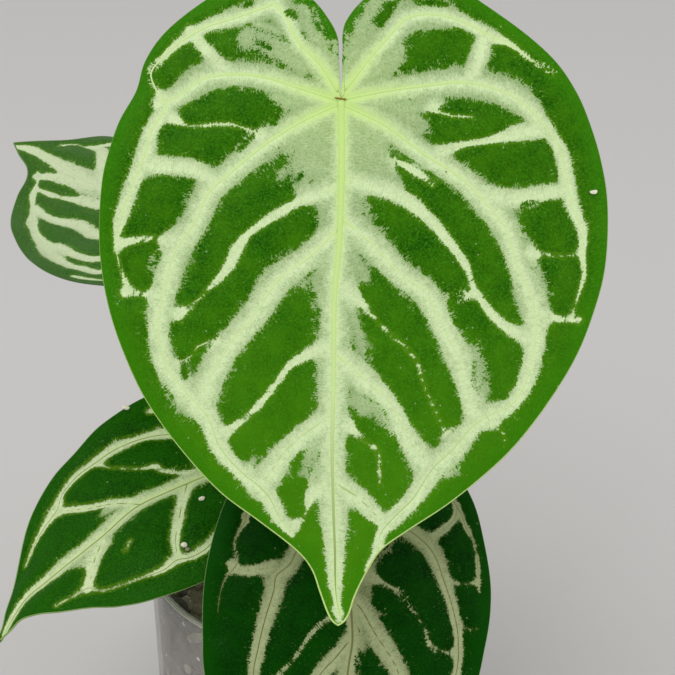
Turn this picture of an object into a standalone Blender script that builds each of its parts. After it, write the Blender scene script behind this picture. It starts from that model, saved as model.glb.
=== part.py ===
"""Potted anthurium: four heart-shaped leaves on petioles, one rootstock, potting mix, clear pot.

Metres, +Z up. The origin is the centre of the pot's underside, and the front leaf faces -Y.
Each blade is drawn flat first, in millimetres: u runs across it, v runs from the petiole to the tip.
The flat sheet is then bent along its midrib, curled across it, waved and quilted between its veins.
"""

import math

import bmesh
import bpy
import numpy as np
from mathutils import Vector
from mathutils.geometry import delaunay_2d_cdt

MM = 0.001
GAP = 0.3 * MM

POT_HEIGHT = 120 * MM
POT_TOP_RADIUS = 64.2 * MM
POT_BASE_RADIUS = 63.4 * MM
POT_WALL = 1.7 * MM
POT_FLOOR = 2.4 * MM
POT_FOOT_HEIGHT = 2.0 * MM
POT_FOOT_WIDTH = 8 * MM
POT_CENTRE_PAD = 14 * MM
POT_SIDES = 48
DRAIN_HOLES = 8
DRAIN_HOLE_RADIUS = 4 * MM
DRAIN_RING_RADIUS = 34 * MM

MIX_EDGE_HEIGHT = 105 * MM
MIX_CROWN_HEIGHT = 109 * MM
MIX_SIDES = 40
CHIP_COUNT = 40
CHIP_SEED = 7

STOCK_TOP = 118 * MM
STOCK_RADIUS = 9.4 * MM
STOCK_NECK_DEPTH = 14 * MM
STOCK_BOTTOM = 62 * MM
ROOT_COUNT = 8
ROOT_RADIUS = 1.5 * MM
ROOT_REACH = 15 * MM

PETIOLE_RADIUS = 2.1 * MM

BLADE_THICKNESS = 0.8 * MM
RIB_THICKNESS = 2.3 * MM
RIB_HALF_WIDTH = 2.4
QUILT_HEIGHT = 1.5
QUILT_REACH = 6.5
WAVE_HEIGHT = 1.3
WAVE_COUNT = 9
OUTLINE_STEP = 6.5
VEIN_STEP = 6.5
FILL_STEP = 8.5

# Flat outlines in millimetres, from the notch between the lobes round to the tip, one side each.
FRONT_RIGHT = [(0.3, -1.4), (0.7, -12), (0.8, -20), (2.6, -28), (9, -34.6), (20, -39.6), (34, -39.4),
               (46, -33.6), (60, -23.6), (71.2, -13.8), (80, 1), (86.6, 19.4), (88.9, 38), (87.4, 58),
               (82, 76.5), (69.6, 99.2), (53.5, 119.6), (35.7, 134.1), (20, 144.2), (11.5, 151.5),
               (6.2, 161.5), (2.6, 170.8), (-1, 175.2)]
FRONT_LEFT = [(-0.3, -1.4), (-0.7, -12), (-1.6, -21), (-4.4, -27.4), (-10.5, -34.4), (-20, -38.8),
              (-31, -38.9), (-44.1, -33.6), (-58, -23.7), (-65.6, -12.8), (-69.8, -0.8), (-75.4, 11.5),
              (-79.2, 26.1), (-80.5, 45), (-78.6, 63), (-72.3, 84.4), (-62.4, 103.2), (-48.5, 121.4),
              (-31, 137), (-15, 149.6), (-9, 157.5), (-5, 169.3), (-1, 175.2)]
SIDE_RIGHT = [(0.3, -1.2), (0.9, -16.6), (9.2, -26.6), (21, -26.2), (31, -17.6), (38.5, -5.6), (43.4, 8.7),
              (45.6, 26), (44, 46.5), (38.9, 67), (33.2, 77.9), (25.9, 87.2), (17.4, 96.4), (10, 103.4),
              (5, 109.8), (2.6, 116), (0, 124)]
SIDE_LEFT = [(-0.3, -1.2), (-0.9, -16.6), (-9.2, -26.6), (-21, -26.2), (-31, -17.6), (-38.5, -5.6),
             (-43.6, 8.7), (-46.6, 26), (-44.6, 43), (-40.7, 57), (-37.2, 69.7), (-29.7, 83.1),
             (-18.6, 96.9), (-10.5, 105.6), (-5.4, 112.4), (-2.2, 118), (0, 124)]
LOW_RIGHT = [(0.4, -1.4), (1, -17.8), (10.5, -28.4), (24, -28.1), (35.3, -18.9), (43.6, -7.6), (48.2, 6.6),
             (51.5, 20.8), (52.4, 33), (51, 46.5), (48, 59), (42.3, 74.2), (34.4, 87.9), (24.5, 99.6),
             (13.4, 109.4), (5.5, 120), (0, 132.9)]
LOW_LEFT = [(-0.4, -1.4), (-1, -17.8), (-10.5, -28.4), (-24, -28.1), (-35.3, -18.9), (-43.4, -8),
            (-48, 4.5), (-50.9, 18.7), (-51.7, 31), (-51.2, 45), (-49.3, 59.3), (-43, 74.2),
            (-34.4, 87.9), (-24.5, 99.6), (-13.4, 109.4), (-5.5, 120), (0, 132.9)]
BACK_RIGHT = [(0.3, -1.2), (0.9, -15.8), (11, -25.4), (25, -25), (37, -16.8), (46.4, -4), (52.4, 10),
              (55.3, 26), (53.7, 40.7), (49.2, 54.2), (45.1, 64.2), (38.3, 75.6), (30.9, 84.5),
              (22, 92.4), (12.9, 96.5), (7.4, 101.5), (3.6, 110.4), (0, 118.2)]
BACK_LEFT = [(-0.3, -1.2), (-0.9, -15.8), (-11, -25.4), (-25, -25), (-37, -16.8), (-46.2, -4.6),
             (-51.8, 8.3), (-54.5, 23), (-54.2, 38), (-50.6, 52.4), (-44.3, 66), (-36.6, 78.2),
             (-29.5, 86.3), (-20, 91.9), (-13.1, 98.2), (-5, 109.2), (0, 118.2)]

# The chief veins of each blade, which are its raised ribs.
FRONT_VEINS = {
    "midrib": [(0, 0), (0.3, 16), (0, 33), (-1.2, 66), (-2.6, 116), (-2, 150), (-1.2, 172)],
    "basal_right": [(1, -0.4), (14.5, -3), (27.8, -4.7), (40, -5.8), (51, -3.6), (60, 1.3), (67.7, 8.6),
                    (72.8, 16.8), (75.1, 25.4), (77.2, 34.7), (80.6, 42.7), (80.3, 57.7), (77.7, 71.3)],
    "collecting_right": [(1, 1.6), (14.5, 8.2), (27.8, 17.1), (39.4, 26.3), (47.4, 34.2), (53.4, 43.4),
                         (58.8, 53.7), (62.5, 63.7), (64.9, 74.3), (62, 92.7), (56.3, 100), (43, 107.6),
                         (36.3, 114.6), (24, 131.7), (13, 144.2), (8.4, 155.4)],
    "lateral_right_1": [(0.3, 38.9), (19.5, 55.7), (27.5, 64), (33.8, 74.2), (38.9, 84.9), (43.9, 103.6)],
    "lateral_right_2": [(-1, 84.2), (8.3, 92.1), (16.6, 100.8), (23.3, 110.2), (28.7, 119.9)],
    "lateral_right_3": [(-2, 127.3), (5.3, 132.7), (14.4, 141.8)],
    "lobe_right": [(1.3, -3.3), (7.9, -11.9), (15.5, -20.6), (22.8, -27), (32.8, -29.1), (42.1, -26.2),
                   (55.4, -18.6), (70.1, -9.1)],
    "basal_left": [(-0.3, 0.3), (-13.5, -4), (-25.1, -7), (-35, -8.1), (-45, -6.5), (-55, -2.9),
                   (-60, 1.3), (-63.3, 9.6), (-68.7, 23.5), (-73.8, 39.4), (-73.5, 56), (-71.2, 62.7)],
    "collecting_left": [(-0.7, 1.3), (-13.5, 7.2), (-26.1, 15.1), (-36, 23), (-43.3, 30.6), (-48.4, 40.1),
                        (-54, 50.4), (-60.5, 70), (-60.9, 79.3), (-50.2, 96.9), (-43.9, 105.3),
                        (-33.6, 122.3), (-16.7, 144.5)],
    "lateral_left_1": [(-1.3, 42.8), (-20.8, 59.7), (-29.5, 69.9), (-37.5, 80.9), (-46.2, 98.6)],
    "lateral_left_2": [(-2.3, 103.5), (-11, 110.2), (-18.6, 116.5), (-27.7, 127.3)],
    "lobe_left": [(-1, -2.7), (-12.9, -20.6), (-22.8, -32), (-35.1, -28.4), (-53.3, -20.3), (-63, -9.7)],
}
SIDE_VEINS = {
    "midrib": [(0, 0), (0.4, 22), (-1, 51), (1.6, 75), (0, 94), (0, 119)],
    "collecting_right": [(0.6, 1), (12, 6), (24, 17), (31.9, 35), (32.2, 45.7), (30.6, 57.2), (26.8, 74.1),
                         (18.9, 83.2), (14, 96.2)],
    "lateral_right_1": [(1.2, 30.2), (17.5, 41.3), (30.3, 50.7)],
    "lateral_right_2": [(4.7, 71), (9.8, 75.4), (18.9, 82.7)],
    "lobe_right": [(1, -2), (9, -14), (20, -18.5), (31, -9.5), (38, 8), (39.8, 27)],
    "collecting_left": [(-0.6, 1), (-12, 6), (-22, 14.5), (-27.9, 25), (-32.6, 44.7), (-31.4, 62.4),
                        (-24.9, 75.8), (-14.3, 96.5)],
    "lateral_left_1": [(-2.1, 48.8), (-10.4, 56), (-24.7, 75)],
    "lobe_left": [(-1, -2), (-9, -14), (-20, -18.5), (-31, -9.5), (-38, 8), (-40.2, 27)],
}
LOW_VEINS = {
    "midrib": [(0, 0), (-0.3, 16), (0, 44), (-0.2, 56.5), (0, 90), (0, 127)],
    "collecting_right": [(0.6, 1), (16.4, 3.6), (28.6, 13.3), (36.3, 32.1), (40.1, 55.4), (34.5, 76),
                         (22.5, 92), (8.5, 108)],
    "lateral_right_1": [(-0.3, 28.7), (9.8, 40.9), (19.8, 55.8), (26.5, 74), (29, 84)],
    "lobe_right": [(1, -2), (10, -15), (23, -21.5), (37.2, -5.4), (44.1, 8.6), (46.8, 25.3)],
    "collecting_left": [(-0.6, 1), (-10, 5.5), (-18.9, 12.5), (-28.3, 21.7), (-30.7, 38.6), (-33.6, 58.2),
                        (-31, 76), (-20.5, 94), (-8.5, 108)],
    "lateral_left_1": [(-1.1, 44.1), (-9.9, 55.5), (-19, 71), (-25, 87)],
    "link_left": [(-28.4, 19.9), (-43.1, 20.7)],
    "lobe_left": [(-1, -2), (-10, -15), (-23, -21.5), (-38.2, 0.4), (-42.1, 18.9), (-46.3, 36.7)],
}
BACK_VEINS = {
    "midrib": [(0, 0), (1.4, 60.4), (-1.3, 82.2), (0, 107.5), (1, 115.5)],
    "collecting_right": [(0.6, 1), (14, 5), (29, 12.5), (41, 16), (45.4, 27.7), (43.8, 37.7), (36.3, 61.1),
                         (25.3, 78.7), (12.4, 91.7), (7.1, 95.5)],
    "lateral_right_1": [(0.6, 17), (15, 27), (20.6, 38.1), (23.2, 61.7), (24.8, 78)],
    "lateral_right_2": [(1.6, 36), (7.8, 52.9), (11.4, 72.2), (15.5, 88.3)],
    "lobe_right": [(1, -2), (10, -13.5), (23, -17), (36, -8), (44.4, 5), (49.2, 17.9)],
    "collecting_left": [(-0.6, 1), (-14, 5), (-30, 15), (-41, 30), (-43, 42), (-36, 61), (-25, 77),
                        (-14, 91)],
    "lateral_left_1": [(-0.6, 18), (-15, 29), (-23, 45), (-29, 68)],
    "lobe_left": [(-1, -2), (-10, -13.5), (-23, -17), (-36, -8), (-46, 8), (-49, 24)],
}

# attach: where the petiole meets the blade. tip and face: directions of the tip and of the upper side.
# bend and curl are curvatures per millimetre, along the midrib and across each half.
LEAVES = {
    "front": dict(
        attach=(11.4, -18.0, 315.9), tip=(0, -0.5, -0.866), face=(0, -0.866, 0.5),
        bend=0.0006, lobe_bend=0.002, curl_right=0.0011, curl_left=0.0011,
        right=FRONT_RIGHT, left=FRONT_LEFT, veins=FRONT_VEINS,
        petiole=[(5, 3), (13, 8, 138), (19, 12, 170), (22, 11, 215), (19, 6, 264), (13.5, 2.5, 297)]),
    "side": dict(
        attach=(-20.3, -3.2, 164.2), tip=(-0.888, -0.457, 0.046), face=(-0.002, 0.104, 0.995),
        bend=0.0072, lobe_bend=0.0033, curl_right=0.015, curl_left=-0.0152,
        right=SIDE_RIGHT, left=SIDE_LEFT, veins=SIDE_VEINS,
        petiole=[(-4, 1), (-11, -1, 128), (-18, -4, 140)]),
    "low": dict(
        attach=(16.4, -54.0, 174.0), tip=(-0.044, -0.639, -0.768), face=(0.143, -0.764, 0.629),
        bend=0.0036, lobe_bend=0.0031, curl_right=0.0027, curl_left=0.0027,
        right=LOW_RIGHT, left=LOW_LEFT, veins=LOW_VEINS,
        petiole=[(4, -5), (8, -12, 131), (14, -25, 147), (15.5, -36, 158)]),
    "back": dict(
        attach=(-46.7, 56.3, 234.7), tip=(-0.664, 0.738, -0.122), face=(-0.457, -0.271, 0.847),
        bend=-0.0022, lobe_bend=0.0049, curl_right=-0.0129, curl_left=0.026,
        right=BACK_RIGHT, left=BACK_LEFT, veins=BACK_VEINS,
        petiole=[(-1, 8), (-4, 29, 137), (-10, 46, 158), (-20, 56, 187), (-34, 61, 212)]),
}

# Two papery sheaths round the crown: middle and width of each one's arc in degrees, height in metres.
CATAPHYLLS = {"cataphyll_right": (-12, 54, 21 * MM), "cataphyll_left": (243, 78, 17 * MM)}
CATAPHYLL_THICKNESS = 0.7 * MM


def clear_scene():
    for item in list(bpy.data.objects):
        bpy.data.objects.remove(item, do_unlink=True)


def make_collection(name):
    collection = bpy.data.collections.new(name)
    bpy.context.scene.collection.children.link(collection)
    return collection


def make_material(name, colour, roughness, alpha=1.0, transmission=0.0):
    material = bpy.data.materials.new(name)
    material.use_nodes = True
    shader = material.node_tree.nodes["Principled BSDF"]
    shader.inputs["Base Color"].default_value = (*colour, 1.0)
    shader.inputs["Roughness"].default_value = roughness
    shader.inputs["Metallic"].default_value = 0.0
    shader.inputs["Alpha"].default_value = alpha
    shader.inputs["Transmission Weight"].default_value = transmission
    material.diffuse_color = (*colour, alpha)
    return material


def add_object(name, mesh, material, collection):
    item = bpy.data.objects.new(name, mesh)
    item.data.materials.append(material)
    collection.objects.link(item)
    return item


def smooth(item, angle=35):
    item.data.shade_smooth()
    item.data.set_sharp_from_angle(angle=math.radians(angle))


def turned(name, profile, sides, material, collection):
    """Turn a closed section, given as (radius, height), about Z."""
    mesh = bpy.data.meshes.new(name)
    edges = [(i, i + 1) for i in range(len(profile) - 1)]
    mesh.from_pydata([(radius, 0, height) for radius, height in profile], edges, [])
    item = add_object(name, mesh, material, collection)
    screw = item.modifiers.new("Turn", "SCREW")
    screw.steps = sides
    screw.render_steps = sides
    screw.use_merge_vertices = True
    screw.merge_threshold = 0.00001
    screw.use_smooth_shade = False
    return item


def baked(item, name, material, collection):
    """Replace an object by a mesh of its evaluated shape, with loose caps welded."""
    depsgraph = bpy.context.evaluated_depsgraph_get()
    mesh = bpy.data.meshes.new_from_object(item.evaluated_get(depsgraph))
    mesh.transform(item.matrix_world)
    work = bmesh.new()
    work.from_mesh(mesh)
    bmesh.ops.remove_doubles(work, verts=work.verts, dist=0.00001)
    bmesh.ops.recalc_face_normals(work, faces=work.faces)
    work.to_mesh(mesh)
    work.free()
    mesh.name = name
    mesh.materials.clear()
    bpy.data.objects.remove(item, do_unlink=True)
    return add_object(name, mesh, material, collection)


def joined(item, pieces, operation="UNION"):
    """Fuse a set of closed pieces into an object, or cut them from it, and remove them."""
    helpers = make_collection(item.name + "_pieces")
    for piece in pieces:
        for owner in list(piece.users_collection):
            owner.objects.unlink(piece)
        helpers.objects.link(piece)
    boolean = item.modifiers.new("Join", "BOOLEAN")
    boolean.operation = operation
    boolean.solver = "EXACT"
    boolean.operand_type = "COLLECTION"
    boolean.collection = helpers
    bpy.context.view_layer.update()
    depsgraph = bpy.context.evaluated_depsgraph_get()
    mesh = bpy.data.meshes.new_from_object(item.evaluated_get(depsgraph))
    item.modifiers.clear()
    item.data = mesh
    for piece in pieces:
        bpy.data.objects.remove(piece, do_unlink=True)
    bpy.data.collections.remove(helpers)
    return item


def tube(name, points, radii, material, collection, rounds=2):
    """A round stem along a smooth path of points in metres, with a radius factor at each point."""
    curve = bpy.data.curves.new(name, "CURVE")
    curve.dimensions = "3D"
    curve.bevel_depth = 1.0
    curve.bevel_resolution = rounds
    curve.use_fill_caps = True
    spline = curve.splines.new("POLY")
    spline.points.add(len(points) - 1)
    for target, place, radius in zip(spline.points, points, radii):
        target.co = (*place, 1.0)
        target.radius = radius
    item = bpy.data.objects.new(name, curve)
    item.data.materials.append(material)
    collection.objects.link(item)
    return item


def smooth_path(points, step):
    """Points a step apart along a Catmull-Rom curve through the given points."""
    knots = np.array(points, dtype=float)
    ends = np.vstack([2 * knots[0] - knots[1], knots, 2 * knots[-1] - knots[-2]])
    t = np.linspace(0, 1, 24, endpoint=False)[:, None]
    spans = []
    for a, b, c, d in zip(ends[:-3], ends[1:-2], ends[2:-1], ends[3:]):
        spans.append(0.5 * (2 * b + (c - a) * t + (2 * a - 5 * b + 4 * c - d) * t ** 2
                            + (3 * b - a - 3 * c + d) * t ** 3))
    fine = np.vstack(spans + [knots[-1:]])
    length = np.concatenate([[0], np.cumsum(np.linalg.norm(np.diff(fine, axis=0), axis=1))])
    count = max(2, int(round(length[-1] / step)) + 1)
    places = np.linspace(0, length[-1], count)
    return np.stack([np.interp(places, length, fine[:, axis]) for axis in range(knots.shape[1])], axis=1)


def distance_to_paths(points, paths):
    """Distance of each flat point to the nearest of several polylines."""
    nearest = np.full(len(points), 1e9)
    for path in paths:
        start = path[:-1]
        along = path[1:] - start
        share = ((points[:, None] - start) * along).sum(-1) / (along ** 2).sum(-1)
        foot = start + np.clip(share, 0, 1)[..., None] * along
        nearest = np.minimum(nearest, np.linalg.norm(points[:, None] - foot, axis=-1).min(1))
    return nearest


def inside(points, outline):
    """Even-odd test of flat points against a closed outline."""
    result = np.zeros(len(points), dtype=bool)
    for (x0, y0), (x1, y1) in zip(outline, np.roll(outline, -1, axis=0)):
        if y0 == y1:
            continue
        crosses = (y0 > points[:, 1]) != (y1 > points[:, 1])
        result ^= crosses & (points[:, 0] < (x1 - x0) * (points[:, 1] - y0) / (y1 - y0) + x0)
    return result


def arc(curvature, distance):
    """Advance along and sag from a tangent, after a distance on a circle of the given curvature."""
    curvature = np.where(np.abs(curvature) < 1e-6, 1e-6, curvature)
    return np.sin(curvature * distance) / curvature, (1 - np.cos(curvature * distance)) / curvature


def leaf_axes(leaf):
    tip = Vector(leaf["tip"]).normalized()
    face = Vector(leaf["face"])
    face = (face - tip * face.dot(tip)).normalized()
    side = face.cross(tip)
    return np.array(side), np.array(tip), np.array(face)


def place_on_leaf(leaf, flat, height):
    """Bend flat blade points along the midrib, curl them across it and raise them by a height."""
    side, tip, face = leaf_axes(leaf)
    u = flat[:, 0]
    v = flat[:, 1]
    bend = np.where(v > 0, leaf["bend"], leaf["lobe_bend"])
    curl = np.where(u > 0, leaf["curl_right"], leaf["curl_left"])
    ahead, sag = arc(bend, v)
    across, droop = arc(curl, u)
    turn = bend * v
    normal = np.cos(turn)[:, None] * face + np.sin(turn)[:, None] * tip
    place = np.array(leaf["attach"]) + across[:, None] * side + ahead[:, None] * tip
    place = place - sag[:, None] * face + (height - droop)[:, None] * normal
    return place * MM


def blade_height(flat, leaf, veins, outline):
    """Quilting between the veins, and waves that grow towards the margin."""
    quilt = QUILT_HEIGHT * (1 - np.exp(-(distance_to_paths(flat, veins) / QUILT_REACH) ** 2))
    edge = distance_to_paths(flat, [outline])
    quilt = quilt * np.clip(edge / QUILT_REACH, 0, 1)
    length = max(point[1] for point in leaf["right"])
    angle = np.arctan2(flat[:, 0], flat[:, 1] - 0.3 * length)
    reach = np.hypot(flat[:, 0], flat[:, 1] - 0.3 * length) / (0.6 * length)
    waves = WAVE_HEIGHT * reach ** 3 * np.sin(WAVE_COUNT * angle) * np.clip(np.abs(flat[:, 0]) / 20, 0, 1)
    return quilt + waves


def spaced(candidates, kept, distance):
    """The candidates that stay a distance from the points kept so far and from each other."""
    chosen = []
    for point in candidates:
        others = np.vstack([kept] + chosen) if chosen else kept
        if np.linalg.norm(others - point, axis=1).min() > distance:
            chosen.append(point[None])
    return np.vstack(chosen) if chosen else np.zeros((0, 2))


def make_blade(name, leaf, material, collection):
    """A blade as one thin sheet whose triangles follow its outline and veins, thicker at its ribs."""
    right = smooth_path(leaf["right"], OUTLINE_STEP)
    left = smooth_path(leaf["left"], OUTLINE_STEP)
    outline = np.vstack([right, left[-2:0:-1]])
    veins = [smooth_path(points, VEIN_STEP) for points in leaf["veins"].values()]

    points = outline
    chains = []
    for path in veins:
        room = distance_to_paths(path, [np.vstack([outline, outline[:1]])]) > 1.5
        on_blade = path[room & inside(path, outline)]
        fresh = spaced(on_blade, points, 2.2)
        chains.append((len(points), len(fresh)))
        points = np.vstack([points, fresh])
    edges = []
    for first, count in chains:
        edges += [(i, i + 1) for i in range(first, first + count - 1)
                  if np.linalg.norm(points[i] - points[i + 1]) < 1.6 * VEIN_STEP]

    flanks = []
    for path in veins:
        run = np.gradient(path, axis=0)
        across = np.stack([-run[:, 1], run[:, 0]], axis=1) / np.linalg.norm(run, axis=1)[:, None]
        flanks += [path + RIB_HALF_WIDTH * across, path - RIB_HALF_WIDTH * across]
    low, high = outline.min(0), outline.max(0)
    grid_u, grid_v = np.meshgrid(np.arange(low[0], high[0], FILL_STEP),
                                 np.arange(low[1], high[1], FILL_STEP * 0.866))
    grid_u = grid_u + (np.arange(grid_u.shape[0])[:, None] % 2) * FILL_STEP / 2
    fill = np.stack([grid_u.ravel(), grid_v.ravel()], axis=1)
    closed = np.vstack([outline, outline[:1]])
    for candidates, distance in ((np.vstack(flanks), 2.0), (fill, 5.2)):
        candidates = candidates[inside(candidates, outline)]
        candidates = candidates[distance_to_paths(candidates, [closed]) > 1.6]
        points = np.vstack([points, spaced(candidates, points, distance)])

    border = list(range(len(outline)))
    vertices, _, faces, *_ = delaunay_2d_cdt([Vector(point) for point in points], edges, [border], 1, 1e-4)
    flat = np.array([tuple(vertex) for vertex in vertices])
    height = blade_height(flat, leaf, veins, closed)
    solid = place_on_leaf(leaf, flat, height)

    work = bmesh.new()
    corners = [work.verts.new(place) for place in solid]
    for face in faces:
        work.faces.new([corners[i] for i in reversed(face)])
    for loose in [vertex for vertex in work.verts if not vertex.link_faces]:
        work.verts.remove(loose)
    mesh = bpy.data.meshes.new(name)
    work.normal_update()
    upward = sum((face.normal * face.calc_area() for face in work.faces), Vector())
    if upward.dot(Vector(leaf["face"])) < 0:
        bmesh.ops.reverse_faces(work, faces=work.faces)
    used = [index for index, vertex in enumerate(corners) if vertex.is_valid]
    work.to_mesh(mesh)
    work.free()
    item = add_object(name, mesh, material, collection)

    ribs = item.vertex_groups.new(name="ribs")
    weight = np.clip(1 - distance_to_paths(flat[used], veins) / RIB_HALF_WIDTH, 0, 1)
    taper = np.clip(distance_to_paths(flat[used], [closed]) / 8, 0.15, 1)
    for index, value in enumerate(weight * taper):
        ribs.add([index], float(value), "REPLACE")
    shell = item.modifiers.new("Thickness", "SOLIDIFY")
    shell.thickness = RIB_THICKNESS
    shell.offset = -1
    shell.vertex_group = "ribs"
    shell.thickness_vertex_group = BLADE_THICKNESS / RIB_THICKNESS
    smooth(item, 60)
    return item


def make_petiole(name, leaf, material, collection):
    """A petiole from the rootstock's top to the underside of its blade, swollen at both ends."""
    side, tip, face = leaf_axes(leaf)
    attach = np.array(leaf["attach"])
    base = leaf["petiole"][0]
    foot = (STOCK_TOP + GAP) / MM
    knots = [(*base, foot), (*base, foot + 6)] + list(leaf["petiole"][1:])
    knots += [attach - face * 14, attach - face * (RIB_THICKNESS + GAP) / MM]
    path = smooth_path(knots, 6) * MM
    path[0, :2] = path[1, :2]
    path[-2] = path[-1] - face * np.linalg.norm(path[-1] - path[-2])
    share = np.linspace(0, 1, len(path))
    to_blade = np.linalg.norm(path - path[-1], axis=1)
    from_base = np.linalg.norm(path - path[0], axis=1)
    radii = PETIOLE_RADIUS * (1.05 - 0.15 * share)
    radii = radii + 0.7 * MM * np.exp(-(to_blade / (7 * MM)) ** 2) * (to_blade > 3 * MM)
    radii = radii + 0.9 * MM * np.exp(-(from_base / (9 * MM)) ** 2)
    curve = tube(name, path, radii, material, collection)
    item = baked(curve, name, material, collection)
    smooth(item, 50)
    return item


def wall_radius(height):
    return POT_BASE_RADIUS + (POT_TOP_RADIUS - POT_BASE_RADIUS) * height / POT_HEIGHT


def make_pot(material, collection):
    """A plain round pot, turned from one section, with drain holes in its raised floor."""
    floor = POT_FOOT_HEIGHT + POT_FLOOR
    inner = POT_WALL
    profile = [
        (0, floor), (wall_radius(floor) - inner - 2 * MM, floor),
        (wall_radius(floor) - inner, floor + 2 * MM),
        (POT_TOP_RADIUS - inner, POT_HEIGHT - 0.5 * MM),
        (POT_TOP_RADIUS - inner + 0.5 * MM, POT_HEIGHT),
        (POT_TOP_RADIUS - 0.5 * MM, POT_HEIGHT), (POT_TOP_RADIUS, POT_HEIGHT - 0.5 * MM),
        (POT_BASE_RADIUS, 1.5 * MM), (POT_BASE_RADIUS - 1.5 * MM, 0),
        (POT_BASE_RADIUS - POT_FOOT_WIDTH, 0),
        (POT_BASE_RADIUS - POT_FOOT_WIDTH - 1 * MM, POT_FOOT_HEIGHT),
        (POT_CENTRE_PAD + 1 * MM, POT_FOOT_HEIGHT), (POT_CENTRE_PAD, 0), (0, 0),
    ]
    pot = turned("pot", profile, POT_SIDES, material, collection)
    pot = baked(pot, "pot", material, collection)
    cutters = []
    for index in range(DRAIN_HOLES):
        angle = 2 * math.pi * (index + 0.5) / DRAIN_HOLES
        place = (DRAIN_RING_RADIUS * math.cos(angle), DRAIN_RING_RADIUS * math.sin(angle), floor / 2)
        bpy.ops.mesh.primitive_cylinder_add(vertices=14, radius=DRAIN_HOLE_RADIUS, depth=3 * floor,
                                            location=place)
        cutters.append(bpy.context.object)
    joined(pot, cutters, "DIFFERENCE")
    smooth(pot)
    return pot


def mix_height(radius):
    """The mix is a little mounded: a cosine from its crown down to the wall."""
    share = min(radius / POT_TOP_RADIUS, 1)
    return MIX_EDGE_HEIGHT + (MIX_CROWN_HEIGHT - MIX_EDGE_HEIGHT) * 0.5 * (1 + math.cos(math.pi * share))


def make_chip(place, size, rng):
    """A chunk of bark, pumice or perlite: a small faceted ball, flattened, turned and roughened."""
    bpy.ops.mesh.primitive_ico_sphere_add(subdivisions=1, radius=1, location=(0, 0, 0))
    chip = bpy.context.object
    stretch = Vector((size, size * rng.uniform(0.55, 0.9), size * rng.uniform(0.4, 0.7)))
    spin = Vector((rng.uniform(-0.5, 0.5), rng.uniform(-0.5, 0.5), rng.uniform(0, math.pi)))
    for vertex in chip.data.vertices:
        vertex.co = Vector([a * b for a, b in zip(vertex.co, stretch)]) * rng.uniform(0.85, 1.12)
    chip.rotation_euler = spin
    chip.location = place
    bpy.context.view_layer.update()
    chip.data.transform(chip.matrix_world)
    chip.matrix_world.identity()
    return chip


def make_mix(material, collection):
    """Potting mix: a turned body with a stepped hole for the rootstock, and chips fused on its top."""
    floor = POT_FOOT_HEIGHT + POT_FLOOR + GAP
    wall = POT_WALL + GAP
    neck = STOCK_RADIUS + GAP
    cavity = ROOT_REACH + 1.2 * MM
    top = mix_height(neck)
    rings = [0.3, 0.5, 0.7, 0.86]
    profile = [(0, STOCK_BOTTOM - 4 * MM), (cavity, STOCK_BOTTOM - 4 * MM),
               (cavity, top - STOCK_NECK_DEPTH - 4 * MM), (neck, top - STOCK_NECK_DEPTH), (neck, top)]
    profile += [(share * POT_TOP_RADIUS, mix_height(share * POT_TOP_RADIUS)) for share in rings]
    profile += [(wall_radius(MIX_EDGE_HEIGHT) - wall, MIX_EDGE_HEIGHT),
                (wall_radius(floor) - wall, floor + 2.2 * MM),
                (wall_radius(floor) - wall - 2.2 * MM, floor), (0, floor)]
    mix = turned("potting_mix", profile, MIX_SIDES, material, collection)
    mix = baked(mix, "potting_mix", material, collection)
    rng = np.random.default_rng(CHIP_SEED)
    chips = []
    for index in range(CHIP_COUNT):
        angle = index * 2.39996
        radius = (18 + 36 * math.sqrt((index + 0.5) / CHIP_COUNT)) * MM
        size = rng.uniform(2.6, 5.2) * MM
        place = (radius * math.cos(angle), radius * math.sin(angle), mix_height(radius) + 0.1 * size)
        chips.append(make_chip(place, size, rng))
    joined(mix, chips)
    smooth(mix, 30)
    return mix


def make_rootstock(material, collection):
    """The short upright stem with the stout roots that it stands on, all grown as one."""
    profile = [(0, STOCK_TOP), (STOCK_RADIUS - 2 * MM, STOCK_TOP), (STOCK_RADIUS, STOCK_TOP - 2.5 * MM),
               (STOCK_RADIUS - 0.7 * MM, STOCK_TOP - 7 * MM), (STOCK_RADIUS, STOCK_TOP - 10 * MM),
               (STOCK_RADIUS, STOCK_TOP - 22 * MM), (STOCK_RADIUS - 2 * MM, STOCK_TOP - 36 * MM),
               (STOCK_RADIUS - 6 * MM, STOCK_TOP - 44 * MM), (0, STOCK_TOP - 45 * MM)]
    stock = turned("rootstock", profile, 20, material, collection)
    stock = baked(stock, "rootstock", material, collection)
    roots = []
    for index in range(ROOT_COUNT):
        angle = 2 * math.pi * index / ROOT_COUNT + 0.2
        height = STOCK_TOP / MM - 32 - 2.5 * (index % 3)
        outward = Vector((math.cos(angle), math.sin(angle), 0))
        reach = ROOT_REACH / MM - ROOT_RADIUS / MM
        knots = [outward * 3 + Vector((0, 0, height)),
                 outward * 0.75 * reach + Vector((0, 0, height - 4)),
                 outward * 0.92 * reach + Vector((0, 0, height - 12)),
                 outward * 0.8 * reach + Vector((0, 0, STOCK_BOTTOM / MM + 1.5 + index % 3))]
        path = smooth_path([tuple(knot) for knot in knots], 5) * MM
        radii = ROOT_RADIUS * np.linspace(1, 0.6, len(path))
        curve = tube("root", path, radii, material, collection, rounds=1)
        roots.append(baked(curve, "root", material, collection))
    joined(stock, roots)
    smooth(stock, 40)
    return stock


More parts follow.
